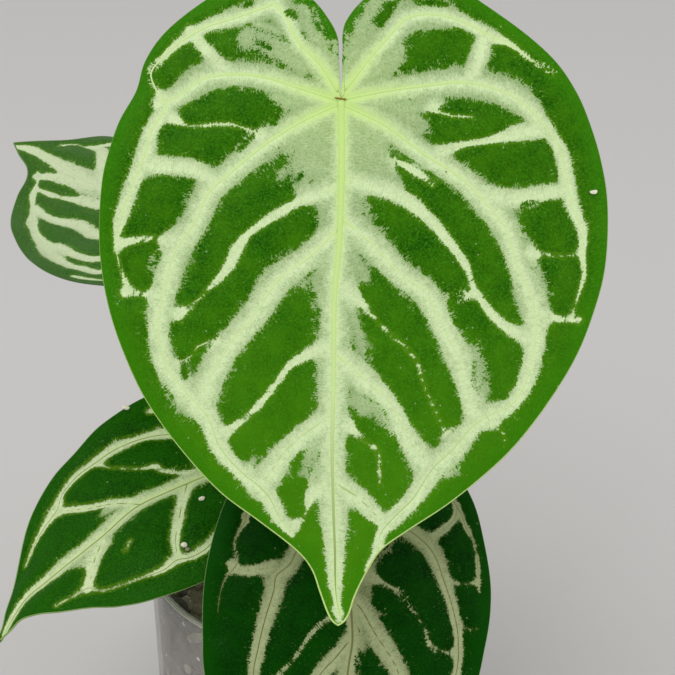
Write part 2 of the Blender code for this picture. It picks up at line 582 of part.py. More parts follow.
def make_cataphyll(name, middle, spread, height, material, collection):
    """A papery sheath: part of a cone round the crown, pointed at its top, thickened outwards."""
    across, up = 9, 6
    inner = STOCK_RADIUS + GAP
    base = mix_height(inner) + 0.6 * MM
    vertices = []
    for row in range(up + 1):
        rise = row / up
        for column in range(across + 1):
            share = 2 * column / across - 1
            width = spread / 2 * (1 - rise ** 2.2 * 0.9)
            angle = math.radians(middle + share * width)
            radius = inner + 3.4 * MM * rise ** 1.5
            vertices.append((radius * math.cos(angle), radius * math.sin(angle), base + height * rise))
    faces = []
    for row in range(up):
        for column in range(across):
            a = row * (across + 1) + column
            b = a + across + 1
            faces += [(a, a + 1, b + 1), (a, b + 1, b)]
    mesh = bpy.data.meshes.new(name)
    mesh.from_pydata(vertices, [], faces)
    item = add_object(name, mesh, material, collection)
    shell = item.modifiers.new("Thickness", "SOLIDIFY")
    shell.thickness = CATAPHYLL_THICKNESS
    shell.offset = 1
    smooth(item, 60)
    return item


def main():
    clear_scene()
    plant = make_collection("potted_anthurium")
    leaf_green = make_material("blade_green", (0.075, 0.19, 0.035), 0.5)
    petiole_green = make_material("petiole_green", (0.17, 0.27, 0.07), 0.45)
    bark_brown = make_material("rootstock_brown", (0.16, 0.11, 0.06), 0.8)
    sheath_tan = make_material("sheath_tan", (0.35, 0.24, 0.12), 0.75)
    mix_brown = make_material("mix_brown", (0.07, 0.05, 0.035), 0.95)
    clear_grey = make_material("clear_plastic", (0.8, 0.82, 0.82), 0.15, 0.35, 0.9)
    make_pot(clear_grey, plant)
    make_mix(mix_brown, plant)
    make_rootstock(bark_brown, plant)
    for name, (middle, spread, height) in CATAPHYLLS.items():
        make_cataphyll(name, middle, spread, height, sheath_tan, plant)
    for name, leaf in LEAVES.items():
        make_petiole("petiole_" + name, leaf, petiole_green, plant)
        make_blade("blade_" + name, leaf, leaf_green, plant)


main()
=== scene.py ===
import math

import bmesh
import bpy
import numpy as np
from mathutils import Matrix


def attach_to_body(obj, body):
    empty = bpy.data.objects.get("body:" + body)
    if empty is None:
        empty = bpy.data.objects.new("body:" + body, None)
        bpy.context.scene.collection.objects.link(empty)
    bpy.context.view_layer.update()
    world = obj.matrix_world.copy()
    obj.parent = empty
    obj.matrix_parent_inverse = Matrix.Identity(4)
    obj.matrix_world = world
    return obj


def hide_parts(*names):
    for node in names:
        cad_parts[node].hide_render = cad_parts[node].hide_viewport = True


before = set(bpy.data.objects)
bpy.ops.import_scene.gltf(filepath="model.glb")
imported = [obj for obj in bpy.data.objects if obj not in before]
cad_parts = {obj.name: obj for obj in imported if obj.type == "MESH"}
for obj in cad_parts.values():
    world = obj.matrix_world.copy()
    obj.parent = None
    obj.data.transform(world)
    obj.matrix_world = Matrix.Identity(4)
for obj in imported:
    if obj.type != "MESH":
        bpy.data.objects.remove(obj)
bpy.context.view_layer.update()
mm = 0.001
scene = bpy.context.scene
print("frame loaded")


def linear(code, alpha=1.0):
    # sRGB hex to the linear colour that the shader sockets read
    parts = [int(code[i:i + 2], 16) / 255 for i in (0, 2, 4)]
    return (*[c / 12.92 if c <= 0.04045 else ((c + 0.055) / 1.055) ** 2.4 for c in parts], alpha)


def addNode(tree, kind, inputs=None, **settings):
    # One node with its settings; an input takes a socket, a value, or a colour as a hex code
    added = tree.nodes.new(kind)
    for name, value in settings.items():
        setattr(added, name, value)
    for key, value in (inputs or {}).items():
        if isinstance(value, bpy.types.NodeSocket):
            tree.links.new(value, added.inputs[key])
        else:
            added.inputs[key].default_value = linear(value) if isinstance(value, str) else value
    return added


def newMaterial(name, roughness=0.5, **sockets):
    made = bpy.data.materials.new(name)
    made.use_nodes = True
    shader = made.node_tree.nodes["Principled BSDF"]
    shader.inputs["Roughness"].default_value = roughness
    for key, value in sockets.items():
        shader.inputs[key.replace("_", " ")].default_value = value
    return made, made.node_tree, shader


def smoothRoute(points, step):
    # Catmull-Rom curve through the points, resampled at even steps of its own length over the first
    # two columns; every further column, such as a width, is carried along
    knots = np.array(points, dtype=float)
    ends = np.vstack([2 * knots[0] - knots[1], knots, 2 * knots[-1] - knots[-2]])
    t = np.linspace(0, 1, 24, endpoint=False)[:, None]
    a, b, c, d = (ends[i:len(ends) - 3 + i, None] for i in range(4))
    fine = 0.5 * (2 * b + (c - a) * t + (2 * a - 5 * b + 4 * c - d) * t ** 2
                  + (3 * b - a - 3 * c + d) * t ** 3)
    fine = np.vstack([fine.reshape(-1, knots.shape[1]), knots[-1:]])
    wide = 3 if knots.shape[1] > 3 or step < 0 else 2
    length = np.concatenate([[0], np.cumsum(np.linalg.norm(np.diff(fine[:, :wide], axis=0), axis=1))])
    places = np.linspace(0, length[-1], max(3, int(round(length[-1] / abs(step))) + 1))
    return np.stack([np.interp(places, length, fine[:, i]) for i in range(knots.shape[1])], axis=1)


def gridFaces(rows, columns, start=0, closed=False):
    # Quads of a grid stored row by row; closed joins the last column to the first
    index = start + np.arange(rows * columns).reshape(rows, columns)
    if closed:
        index = np.hstack([index, index[:, :1]])
    corner = index[:-1, :-1], index[:-1, 1:], index[1:, 1:], index[1:, :-1]
    return np.stack(corner, axis=-1).reshape(-1, 4)


def makePiece(name, places, faces, materials, attributes=None, slots=None, sharp=None):
    # Puts whole arrays of points and of quads or triangles into a mesh
    mesh = bpy.data.meshes.new(name)
    groups = faces if isinstance(faces, list) else [faces]
    mesh.from_pydata(places.tolist(), [], [f for group in groups for f in group.tolist()])
    for key, values in (attributes or {}).items():
        layer = mesh.attributes.new(key, "FLOAT", "POINT")
        layer.data.foreach_set("value", np.asarray(values, dtype=np.float32).ravel())
    for material in materials:
        mesh.materials.append(material)
    if slots is not None:
        mesh.polygons.foreach_set("material_index", np.asarray(slots, dtype=np.int32))
    mesh.shade_smooth()
    if sharp is not None:
        mesh.set_sharp_from_angle(angle=math.radians(sharp))
    mesh.update()
    piece = bpy.data.objects.new(name, mesh)
    scene.collection.objects.link(piece)
    return piece


def tube(route, radii, sides, flat=1.0, up=None):
    # A round section carried along a route: at each station two axes square to the run, scaled by the
    # radius there; flat squeezes the second axis, which leans to the up direction
    run = np.gradient(route, axis=0)
    run /= np.linalg.norm(run, axis=1)[:, None]
    if up is None:
        across = np.zeros_like(run)
        guide = np.array([0.2, 1.0, 0.1])
        for i, direction in enumerate(run):
            guide = guide - direction * guide.dot(direction)
            guide /= np.linalg.norm(guide)
            across[i] = guide
    else:
        across = np.cross(up, run)
        across /= np.linalg.norm(across, axis=1)[:, None]
    second = np.cross(run, across)
    turn = np.linspace(0, 2 * np.pi, sides, endpoint=False)
    ring = np.cos(turn)[None, :, None] * across[:, None] + flat * np.sin(turn)[None, :, None] * second[:, None]
    radii = radii if radii.ndim == 2 else radii[:, None]
    return route[:, None] + radii[..., None] * ring


def cappedTube(route, radii, sides, **more):
    # The tube with each end closed by a pole point; returns its points and faces
    rings = tube(route, radii, sides, **more)
    rows = len(route)
    points = np.vstack([rings.reshape(-1, 3), route[:1], route[-1:]])
    body = gridFaces(rows, sides, closed=True)
    around = np.arange(sides)
    after = np.roll(around, -1)
    first = np.stack([np.full(sides, rows * sides), after, around], axis=1)
    last = np.stack([np.full(sides, rows * sides + 1), (rows - 1) * sides + around,
                     (rows - 1) * sides + after], axis=1)
    return points, [body, np.vstack([first, last])]


def gather(parts):
    # Several (points, [faces...]) sets as one
    points, faces, offset = [], [], 0
    for places, groups in parts:
        points.append(places)
        faces += [group + offset for group in groups]
        offset += len(places)
    return np.vstack(points), faces


# Flat outlines and vein routes in millimetres: u across the blade, v from the petiole to the tip.
# Every vein point is (u, v, half width of the silver band beside it).
frontLeaf = {
    "attach": (11.4, -18.0, 315.9), "tip": (0, -0.5, -0.866), "face": (0, -0.866, 0.5),
    "bend": 0.0006, "lobeBend": 0.002, "curlRight": 0.0011, "curlLeft": 0.0011,
    "right": [(0.3, -0.7), (1.1, -2.4), (1.2, -9), (1, -16), (0.6, -21), (2, -26.5), (7.6, -33.3),
              (16.9, -38.7), (27.8, -40.5), (37.8, -38.2), (45.8, -33.6), (59.7, -23.6), (70.7, -13.5),
              (77.6, -3.8), (82.3, 6.1), (86.6, 19.4), (88.8, 34.3), (88, 54.3), (84.5, 69.4),
              (78.7, 84.5), (69.5, 99.5), (58.2, 114.2), (48, 124.3), (35.7, 134.1), (22.1, 142.8),
              (13.7, 148.9), (9.1, 155.7), (4.7, 164.6), (2.7, 170.8), (1, 173.8), (-1, 175.2)],
    "left": [(0.3, -0.7), (-0.6, -2.4), (-0.7, -9), (-0.9, -16), (-1.3, -21), (-3.9, -26.4), (-9.3, -33.3),
             (-16.9, -37.7), (-26.2, -39.5), (-35.8, -37.5), (-44.1, -33.6), (-57.6, -23.3),
             (-64.8, -13.6), (-67.9, -3.5), (-73.4, 6.3), (-76.8, 16.1), (-79.2, 26.1), (-80.4, 41),
             (-79.9, 54.3), (-77.1, 69.2), (-72, 84.3), (-65, 99.4), (-54.4, 114.4), (-40.7, 129.4),
             (-27.7, 139.5), (-15, 149.6), (-9.7, 156.1), (-7, 163.6), (-4.7, 170.1), (-3, 173.5),
             (-1, 175.2)],
    "veins": {
        "midrib": [(0, 0, 9.9), (0.3, 16.5, 11.2), (0, 32.9, 7.9), (-0.7, 49.4, 6.9), (-2.2, 65.9, 6.6),
                   (-2.4, 89.2, 5.7), (-2.9, 115.8, 4.4), (-2.5, 136, 4.9), (-2, 149.6, 3.4),
                   (-1.9, 159.8, 2.6), (-1.4, 166.5, 1.3), (-0.2, 172, 0.5)],
        "basalLeft": [(-0.3, 0.3, 3.3), (-13.5, -4, 3.6), (-25, -7.6, 4.6), (-35, -8.6, 4.1),
                      (-45.2, -7.4, 5.2), (-54.4, -1.5, 3.8), (-60.5, 0.7, 2.3)],
        "marginLeft": [(-22.8, -32, 4), (-34.9, -27.6, 3.4), (-44.5, -24.5, 2.1), (-52.9, -19.8, 1.6),
                       (-58.6, -15, 1), (-63, -9.7, 0.8), (-61.6, -4.4, 0.4), (-58, 1.3, 2.7),
                       (-62.9, 9.7, 2.6), (-64.7, 17.1, 3.4), (-67.6, 24, 2.7), (-70.5, 31.4, 2.5),
                       (-73.4, 39.4, 2.3), (-75, 47.7, 0.2), (-73.3, 56, 0.3), (-70.5, 62.5, 1.1)],
        "collectLeft": [(-0.7, 1.3, 4), (-13.5, 7.2, 4), (-26, 15.2, 5.2), (-35.8, 23.2, 4.3),
                        (-43.7, 30.3, 4.8), (-48.4, 40.2, 4.6), (-55.2, 49.9, 5.7), (-58.1, 60.7, 4.6),
                        (-60.3, 70, 4.1), (-60.4, 79.3, 3.6), (-57.7, 89.1, 4), (-50.8, 97.4, 5.8),
                        (-44.1, 105.4, 3.8), (-40.4, 114.8, 3.1), (-33.9, 122.6, 2.5), (-25, 130.4, 3.3),
                        (-20.5, 138.9, 2.3), (-16.5, 144.4, 1)],
        "lateralLeft1": [(-1.3, 42.8, 4.5), (-11.2, 52.2, 4.2), (-21, 59.5, 5.3), (-28.5, 70.6, 4.6),
                         (-37.3, 81, 4.6), (-42.8, 90.4, 4.9), (-45.8, 98.7, 5.1)],
        "lateralLeft2": [(-2.3, 103.5, 3.3), (-11.3, 109.8, 3.7), (-18.7, 116.4, 3.7), (-23.4, 123.3, 4.7),
                         (-27, 127.8, 4.3)],
        "minorLeft1": [(-5, 127.9, 1.3), (-9.9, 130.5, 2.2), (-11.8, 137.1, 0.2), (-15.5, 141.2, 2.1)],
        "minorLeft2": [(-2, 29, 3.3), (-12.4, 32.9, 1.4), (-21, 37.6, 1.6), (-30, 43.6, 1.1),
                       (-34.1, 48.8, 2), (-37.5, 55.5, 1.6), (-43.7, 62.3, 0.5), (-49, 67.4, 0.3),
                       (-54.1, 70.7, 2.4)],
        "minorLeft3": [(-3.3, 80.5, 2.1), (-11.7, 84.2, 1.7), (-16.9, 87.6, 1.2), (-21.7, 93.8, 0.8),
                       (-26.3, 99.7, 1.1), (-32.3, 105.5, 0.8), (-38.6, 110, 2.1)],
        "minorLeft4": [(-26.3, 11.4, 0.3), (-31.8, 9.3, 0.3), (-37.3, 7.9, 0.4), (-45, 8.3, 0.4),
                       (-50.6, 8.4, 0.3), (-55.8, 5.6, 2.2)],
        "minorLeft5": [(-41.9, 26.1, 2.2), (-48.3, 22.8, 3.2), (-56.1, 21.7, 2.9), (-64, 21, 3.8)],
        "minorLeft6": [(-55.9, 45.7, 0.3), (-63.3, 45.6, 0.6), (-69.3, 46.3, 1.2), (-73.7, 47.5, 1.8)],
        "minorLeft7": [(-62.7, 64.4, 1.4), (-67.5, 63.7, 0.6), (-72.3, 63.6, 1.3)],
        "minorLeft8": [(-42.1, 79.3, 0.2), (-47.4, 81.4, 0.2), (-49.9, 84.6, 0.2), (-54.2, 86.9, 1)],
        "minorLeft9": [(-50, -23.6, 1.3), (-46.6, -19.1, 2), (-42.7, -14.5, 2.2), (-39, -10.4, 2.4)],
        "lobeLeft": [(-1, -2.7, 4.6), (-6.9, -11.9, 4.3), (-14.3, -19.6, 2.3), (-17.5, -26.6, 3.7),
                     (-22.1, -32.7, 5.3)],
        "basalRight": [(1, -0.4, 3.3), (14.5, -3, 3.6), (27.8, -4.9, 4.5), (40, -6.1, 5.1), (51.2, -4, 5),
                       (60.3, 0.8, 4.8), (67.8, 8.6, 1.9), (73.1, 16.7, 2.5), (75, 25.4, 2.7),
                       (77.1, 34.8, 2.3), (80.3, 42.8, 1.7), (80.3, 51, 1.1), (81, 57.7, 0.7),
                       (78.5, 66, 0.4), (76.9, 71.2, 0.2)],
        "collectRight": [(1, 1.6, 4), (14.5, 8.2, 4), (27.4, 17.7, 3.8), (39.9, 25.7, 4.1),
                         (47.9, 33.8, 4.5), (54.8, 42.6, 4.8), (58.2, 53.9, 3.1), (62.9, 63.6, 5.5),
                         (64.8, 74.3, 4.1), (64.1, 83.3, 3.4), (61.7, 92.6, 3), (56.9, 100.6, 2.4),
                         (49.3, 104.4, 4), (43.5, 108.3, 3.3), (37.4, 115.6, 4.3), (30.3, 122.6, 4),
                         (24.2, 131.9, 3.1), (18, 138.1, 3), (13.1, 144.2, 1.7), (12.2, 150.9, 2.1),
                         (8.9, 155.7, 1.1)],
        "lateralRight1": [(0.3, 38.9, 4.6), (10.5, 47.6, 5), (18.7, 56.5, 4.2), (27.9, 63.7, 4.6),
                          (33.6, 74.3, 3.8), (38.8, 84.9, 4.6), (41, 94.4, 2.7), (44.7, 103.4, 4.2)],
        "lateralRight2": [(-1, 84.2, 4.6), (8.1, 92.3, 4.4), (16.6, 100.7, 2.6), (21.8, 111.1, 3.4),
                          (27.9, 120.3, 4.9)],
        "lateralRight3": [(-1.8, 126.9, 4.2), (5.9, 132, 3.6), (10.7, 136.8, 2.7), (15.3, 141, 1.5)],
        "minorRight1": [(32.5, 17, 2.2), (40.5, 14.7, 1), (49.4, 13.2, 1.1), (59.3, 10.6, 3.2),
                        (67.7, 9.4, 3.1)],
        "minorRight2": [(48.7, 30.6, 2.6), (57.7, 32.5, 3.4), (67.7, 30.5, 2.7), (75.5, 29.4, 2)],
        "minorRight3": [(1.3, 26.3, 4.6), (11.4, 29, 2.7), (20.6, 32.4, 2.8), (29.4, 39.5, 1.9),
                        (35.9, 47.2, 1.6), (41.3, 54.6, 1.2), (43.4, 60.3, 0.7), (47.6, 67.7, 1.3),
                        (53.3, 73.8, 1.6), (62, 78.9, 2.7)],
        "minorRight4": [(1.3, 62, 4), (8.3, 68.6, 0.9), (14, 75.1, 0.3), (20.2, 80.5, 0.3),
                        (25.2, 86.5, 0.5), (27.6, 94.2, 0.2), (34, 108.5, 0.2)],
        "minorRight5": [(2.1, 107.1, 2.2), (6.4, 111.3, 0.6), (12, 115.9, 0.5), (12.7, 121.9, 0.3),
                        (13, 127.3, 0.3)],
        "minorRight6": [(65.3, 70.4, 2.4), (70.1, 71.8, 1.4), (75, 72.6, 0.8), (79.7, 72.7, 1)],
        "minorRight7": [(62.8, 50.4, 2), (67.8, 51, 0.5), (73.5, 51.4, 0.3), (79, 50.7, 0.2)],
        "minorRight8": [(18.5, 20.2, 0.6), (23.5, 22.9, 1.3), (30.3, 27.7, 0.5)],
        "minorRight9": [(30.3, 3.1, 0.8), (36, 5.1, 0.2), (43.3, 5.6, 0.2)],
        "minorRight10": [(36.8, 65, 1.3), (43.3, 63.9, 1.4)],
        "minorRight11": [(50.3, 106.7, 0.9), (53.6, 109.6, 0.2), (54.7, 113.7, 0.3)],
        "minorRight12": [(47.5, -21.4, 2.2), (46.1, -15.6, 3.6), (43.1, -8.1, 2.6)],
        "lobeRight": [(1.3, -3.3, 4.6), (7.9, -11.9, 4.6), (15.4, -20.7, 4.2), (22.6, -27.6, 5.8),
                      (32.8, -28.5, 4.6), (41.8, -25.8, 2.3), (49.3, -21.8, 2.6), (55.8, -19.2, 1),
                      (62.5, -14.1, 0.5), (70.1, -9.1, 0.5)],
    },
    "duskFrom": 95, "duskMost": 0.85, "scar": [(-2, -0.7), (1.7, -0.2)],
    "webs": [[(-12.9, -10, 2), (-18.5, -15.6, 3.6), (-25.5, -18.6, 3.4), (-30.5, -20.5, 3.4)],
             [(9.6, -5.3, 2), (14.2, -10.6, 4), (18.2, -16, 3.6)],
             [(2.3, -10, 1.3), (5.6, -19.3, 3), (10.9, -28.6, 3.7), (14.9, -36.7, 3.3)],
             [(-3, -10.6, 1.3), (-7.6, -19.9, 2.7), (-12.2, -29.3, 2.7)],
             [(-10.9, 0.9, 2), (-16.5, 1.2, 2.6), (-19, 0.4, 2.2), (-21.8, -1.1, 1.6)],
             [(10.9, 1.9, 2), (19.5, 4.6, 3.6), (25.4, 8.6, 3.2)],
             [(17, 3, 2), (25, 2, 2.3), (32, 0.4, 2.1)],
             [(-1.6, -5, 1.4), (-2, -12, 1.4), (-2.3, -18.5, 1.2)],
             [(1.8, -5, 1), (1.5, -12, 1), (2, -21, 0.9)],
             [(-10.9, 13.1, 3.3), (-12.2, 21.4, 4.6), (-12.8, 27.6, 2.6), (-10.5, 31.6, 3)],
             [(-15, 15, 2), (-18, 17.4, 1.6)],
             [(11.6, 13.1, 3.3), (12.9, 21.4, 4), (16.8, 28.3, 3.3)],
             [(-6.3, 56.7, 1.8), (-8.6, 60, 1.4), (-12.6, 61.4, 1)],
             [(5.6, 53.4, 1.7), (7.6, 58.7, 2)],
             [(4.3, 71.9, 1.3), (5.6, 76.5, 2), (7.6, 82.5, 1.7)],
             [(4.6, 98.5, 2), (7.6, 101.8, 2.6), (12.6, 103.8, 1.2), (17.2, 110, 0.8)],
             [(-7.6, 113.8, 1.7), (-9.6, 116.5, 2), (-11.6, 122.5, 1.3)],
             [(44.2, 82.6, 1.7), (46.2, 87.9, 1.4), (46, 93.5, 1.2)],
             [(-8.2, 121.5, 1.5), (-9.8, 125, 1.5)], [(63.4, 53, 1), (66.8, 58.4, 1)],
             [(-2.2, 169.5, 1.1), (-0.4, 172.4, 1.1)], [(-29, 120, 1.3), (-30.2, 121.4, 1.3)],
             [(38.7, 122.3, 0.9), (35.4, 124.4, 0.9)], [(36.6, 109.2, 1), (34.1, 111.5, 1)],
             [(8.7, 35.3, 1), (8.4, 38.2, 1)], [(-20.9, -22.7, 1.7), (-27.7, -25.1, 1.7)],
             [(48.1, 94.4, 1.5), (47.7, 97.5, 1.5)], [(-17.4, 21.9, 1.1), (-20.7, 25.5, 1.1)], [(60.9, 44.8, 0.8), (62.6, 47.4, 0.8)]],
    "bare": [[(16.4, -31.6, 1.9), (12.6, -25.6, 1.9)], [(34.9, -32.4, 1.2), (24.8, -32.6, 1.2)],
             [(-20.7, 3.2, 1.5), (-22.3, 7, 1.5)], [(9.9, 104.9, 1.1), (14.6, 110.4, 1.1)],
             [(39.7, 64.6, 1.7), (37.3, 65, 1.7)], [(-29.8, 12.2, 1.1), (-33.8, 16.1, 1.1)],
             [(-61.8, -11.7, 1.4), (-62.7, -7.6, 1.4)], [(64.2, 33.8, 1), (60.1, 34.7, 1)],
             [(-60.5, 50.8, 1.3), (-61.9, 54.1, 1.3)], [(-52.1, 86.7, 1.4), (-52, 91.4, 1.4)],
             [(-15.4, -28.3, 1.5), (-17.2, -29, 1.5)], [(-29.9, -32.2, 1.3), (-32.3, -31.5, 1.3)],
             [(-24.2, -17.4, 0.9), (-27.5, -19.3, 0.9)], [(-8.4, -26.5, 1.1), (-7.4, -24, 1.1)],
             [(69.4, -10, 1), (65.8, -12.1, 1)], [(-8.2, 69.4, 1.4), (-8, 77.6, 1.1)],
             [(-59, 94.9, 0.8), (-56, 99.3, 0.8)], [(-13.5, 25.5, 0.9), (-18, 28.8, 1.2)]],
    "rows": 210, "columns": 88, "seed": 3,
}
sideLeaf = {
    "attach": (-20.3, -3.2, 164.2), "tip": (-0.888, -0.457, 0.046), "face": (-0.002, 0.104, 0.995),
    "bend": 0.0072, "lobeBend": 0.0033, "curlRight": 0.015, "curlLeft": -0.0152,
    "right": [(0, -1.2), (0.6, -10), (3, -22), (9.2, -26.6), (21, -26.2), (31, -17.6), (38.5, -5.6),
              (43.4, 8.7), (45.6, 26), (44, 46.5), (39.1, 67.1), (33.1, 77.9), (25.1, 86.7), (17.4, 96.4),
              (10, 103.4), (4.3, 109.8), (3, 116), (0, 124)],
    "left": [(0, -1.2), (-0.6, -10), (-3, -22), (-9.2, -26.6), (-21, -26.2), (-31, -17.6), (-38.5, -5.6),
             (-43.6, 8.7), (-46.6, 26), (-44.5, 43), (-39.8, 56.9), (-36.7, 69.6), (-29.5, 83),
             (-19.1, 97.2), (-11.7, 106.2), (-7, 113.1), (-2.2, 118), (0, 124)],
    "veins": {
        "midrib": [(0, 0, 5.6), (1.5, 22.3, 5.9), (0.8, 37.1, 4.2), (-0.8, 51.4, 4.9), (2, 65.2, 4.2),
                   (2.4, 75.3, 3.5), (1.6, 84.7, 3.8), (0.1, 94.3, 2.5), (-2.1, 104.3, 2.1),
                   (0.1, 115.1, 1.7), (2.5, 121.1, 0.2)],
        "collectLeft": [(-0.6, 1, 3), (-12, 6, 3), (-22, 14.5, 2.8), (-27.8, 25, 2.9), (-31.1, 34.8, 1.5),
                        (-32.1, 44.7, 2.4), (-31.5, 53.1, 1.4), (-31.2, 62.4, 1.3), (-28.4, 70.2, 1),
                        (-23.9, 75.2, 2.4), (-21.7, 82.5, 1.1), (-19, 89.5, 0.6), (-15.1, 97, 0.3)],
        "lateralLeft1": [(-1.4, 49.6, 2.8), (-9.6, 56.7, 1.7), (-15, 65, 1.4), (-20.2, 71.4, 1.4),
                         (-23.1, 76.2, 0.2)],
        "minorLeft1": [(-4.6, 27.3, 2), (-9, 34, 0.7), (-14.3, 36.6, 1.2), (-16.5, 41, 0.3),
                       (-21.1, 46.5, 0.2), (-26.6, 51.3, 0.2), (-31.6, 52.6, 1.5)],
        "lobeLeft": [(-1, -2, 2.8), (-9, -14, 2.6), (-20, -18.5, 2.4), (-31, -9.5, 2), (-38, 8, 1.6),
                     (-40.2, 27, 1)],
        "lateralRight1": [(1.2, 30.2, 4), (9.2, 35.7, 2.2), (17.4, 41.5, 2.1), (24.4, 46.8, 1.7),
                          (30.9, 49.6, 1)],
        "collectRight": [(0.6, 1, 3), (12, 6, 3), (24, 17, 2.8), (32.4, 34.9, 1.6), (33.9, 40.9, 1.9),
                         (33.4, 46, 1.4), (31.6, 50.7, 1.9), (32.1, 57.3, 1.1), (29.6, 65.6, 0.3),
                         (26.3, 73.8, 0.2), (22.8, 80, 0.2), (18.3, 82.8, 0.4), (16.7, 88.9, 0.2),
                         (14, 96.2, 0.3)],
        "lateralRight2": [(5.8, 69.8, 5.6), (10.1, 75, 3.8), (14.9, 79.2, 2.2), (18.2, 83.5, 1.8)],
        "minorRight1": [(14.9, 60.4, 0.3), (17.4, 64, 0.4)],
        "lobeRight": [(1, -2, 2.8), (9, -14, 2.6), (20, -18.5, 2.4), (31, -9.5, 2), (38, 8, 1.6),
                      (39.8, 27, 1)],
    },
    "duskFrom": -25, "duskMost": 0.7, "webs": [[(-7.4, 58.8, 2.2), (-7, 61.2, 2.2)], [(7.6, 79.5, 1.8), (7.1, 81.3, 1.8)]],
    "bare": [[(-5.7, 25.5, 1.4), (-8.4, 30.4, 1.4)]],
    "rows": 140, "columns": 56, "seed": 5,
}
lowLeaf = {
    "attach": (16.4, -54.0, 174.0), "tip": (-0.044, -0.639, -0.768), "face": (0.143, -0.764, 0.629),
    "bend": 0.0036, "lobeBend": 0.0031, "curlRight": 0.0027, "curlLeft": 0.0027,
    "right": [(0, -1.4), (0.6, -10), (3, -23), (10.5, -28.4), (24, -28.1), (35.3, -18.9), (43, -7.3),
              (47.6, 6.7), (50.9, 20.9), (51.4, 33), (50, 46.3), (48, 59), (42.3, 74.2), (34.4, 87.9),
              (24.5, 99.6), (13.4, 109.4), (5.5, 120), (0, 132.9)],
    "left": [(0, -1.4), (-0.6, -10), (-3, -23), (-10.5, -28.4), (-24, -28.1), (-35.3, -18.9), (-43.4, -8),
             (-48, 4.5), (-50.9, 18.7), (-51.7, 31), (-51, 45), (-49.3, 59.3), (-43, 74.2), (-34.4, 87.9),
             (-24.5, 99.6), (-13.4, 109.4), (-5.5, 120), (0, 132.9)],
    "veins": {
        "midrib": [(0, 0, 4.4), (-0.3, 16.1, 3.6), (0.1, 30.1, 3.2), (1.6, 44.1, 1.6), (0.7, 56.5, 3.7),
                   (0, 90, 2.4), (0, 115, 1.6), (0, 128, 0.4)],
        "collectLeft": [(-0.6, 1, 3.2), (-10, 5.5, 3.2), (-18.9, 12.5, 3.2), (-22, 18.6, 3.2),
                        (-26.6, 23, 4), (-27.2, 28.2, 3.6), (-29.7, 38.7, 2.8), (-31.5, 49.4, 2.5),
                        (-32.4, 58.2, 2), (-31, 76, 2.4), (-20.5, 94, 2), (-8.5, 108, 0.8)],
        "minorLeft1": [(-28.4, 19.9, 2.4), (-34.2, 21.3, 1.9), (-39.5, 21.8, 1.5), (-42.9, 19.8, 1.5)],
        "lobeLeft": [(-1, -2, 3.2), (-10, -15, 3), (-23, -21.5, 2.8), (-37.6, 0.7, 1.4), (-38.2, 4, 1.3),
                     (-40.8, 8.4, 0.4), (-42, 13, 0.4), (-40.5, 19, 0.3), (-44.5, 24.9, 0.2),
                     (-45.9, 30.6, 0), (-46.3, 36.7, -0.2), (-46.1, 44.8, -0.6)],
        "lateralLeft1": [(0.2, 44.8, 2.8), (-4.2, 50.8, 3.2), (-8.8, 56.4, 3), (-18.4, 71.4, 2.8),
                         (-25, 87, 2.4)],
        "minorLeft2": [(-6.7, 36.5, 0.8), (-11.3, 39.8, 0.7), (-15.2, 45.1, 0.6), (-18.6, 51.2, 0.5),
                       (-23.3, 56.8, 0.8), (-29, 66, 1.6)],
        "collectRight": [(0.6, 1, 3.2), (16.4, 3.6, 3.2), (23.8, 7.2, 3.3), (29.4, 12.8, 3.4),
                         (33.3, 21.4, 2.5), (37.4, 31.8, 2), (40, 42.6, 1.6), (40.1, 55.4, 1.7),
                         (34.5, 76, 2.4), (22.5, 92, 2), (8.5, 108, 0.8)],
        "lobeRight": [(1, -2, 3.2), (10, -15, 3), (23, -21.5, 2.8), (37, -5.2, 0.7), (40.8, 2.4, 0.9),
                      (44.4, 8.5, 0.3), (45.9, 15.7, 0.8), (46.8, 25.3, 0.4)],
        "minorRight1": [(37.4, -5.3, 1), (36.8, -1, 1.3), (33.6, 2.7, 1.5), (29.5, 6, 1.6)],
        "minorRight2": [(34.2, 21.4, 0.7), (39.5, 22.9, 0.2), (45.5, 22.2, 0.6)],
        "lateralRight1": [(-0.3, 28.7, 4.2), (4.4, 33.7, 4.2), (9.3, 41.2, 4.1), (16.3, 50.5, 3.6),
                          (19.2, 56, 3.1), (26.5, 74, 3), (29, 84, 2.4)],
        "minorRight3": [(5.8, 20.9, 2.4), (12.1, 24.4, 0.6), (17.6, 26.8, 0.9), (22.3, 32.3, 0.5),
                        (27, 38.8, 0.2), (29.7, 45.2, 0.9), (35.3, 47.1, 0.2), (38.6, 47.3, 1.4)],
        "minorRight4": [(37.4, 36.1, 0.4), (42.5, 38.7, 0.2), (45.7, 38.7, 0.3)],
    },
    "duskFrom": -25, "duskMost": 0.7, "webs": [[(4.6, 22, 1.6), (5.8, 27.5, 1.6)], [(14, 9.1, 0.8), (7.2, 17.4, 0.8)],
             [(4.6, 43.5, 1.6), (5.3, 46.4, 1.4)]],
    "bare": [[(3.6, 50, 0.8), (4.2, 56.5, 1)], [(17.4, 26.4, 0.7), (22, 31.8, 0.7)]],
    "rows": 140, "columns": 58, "seed": 8,
}
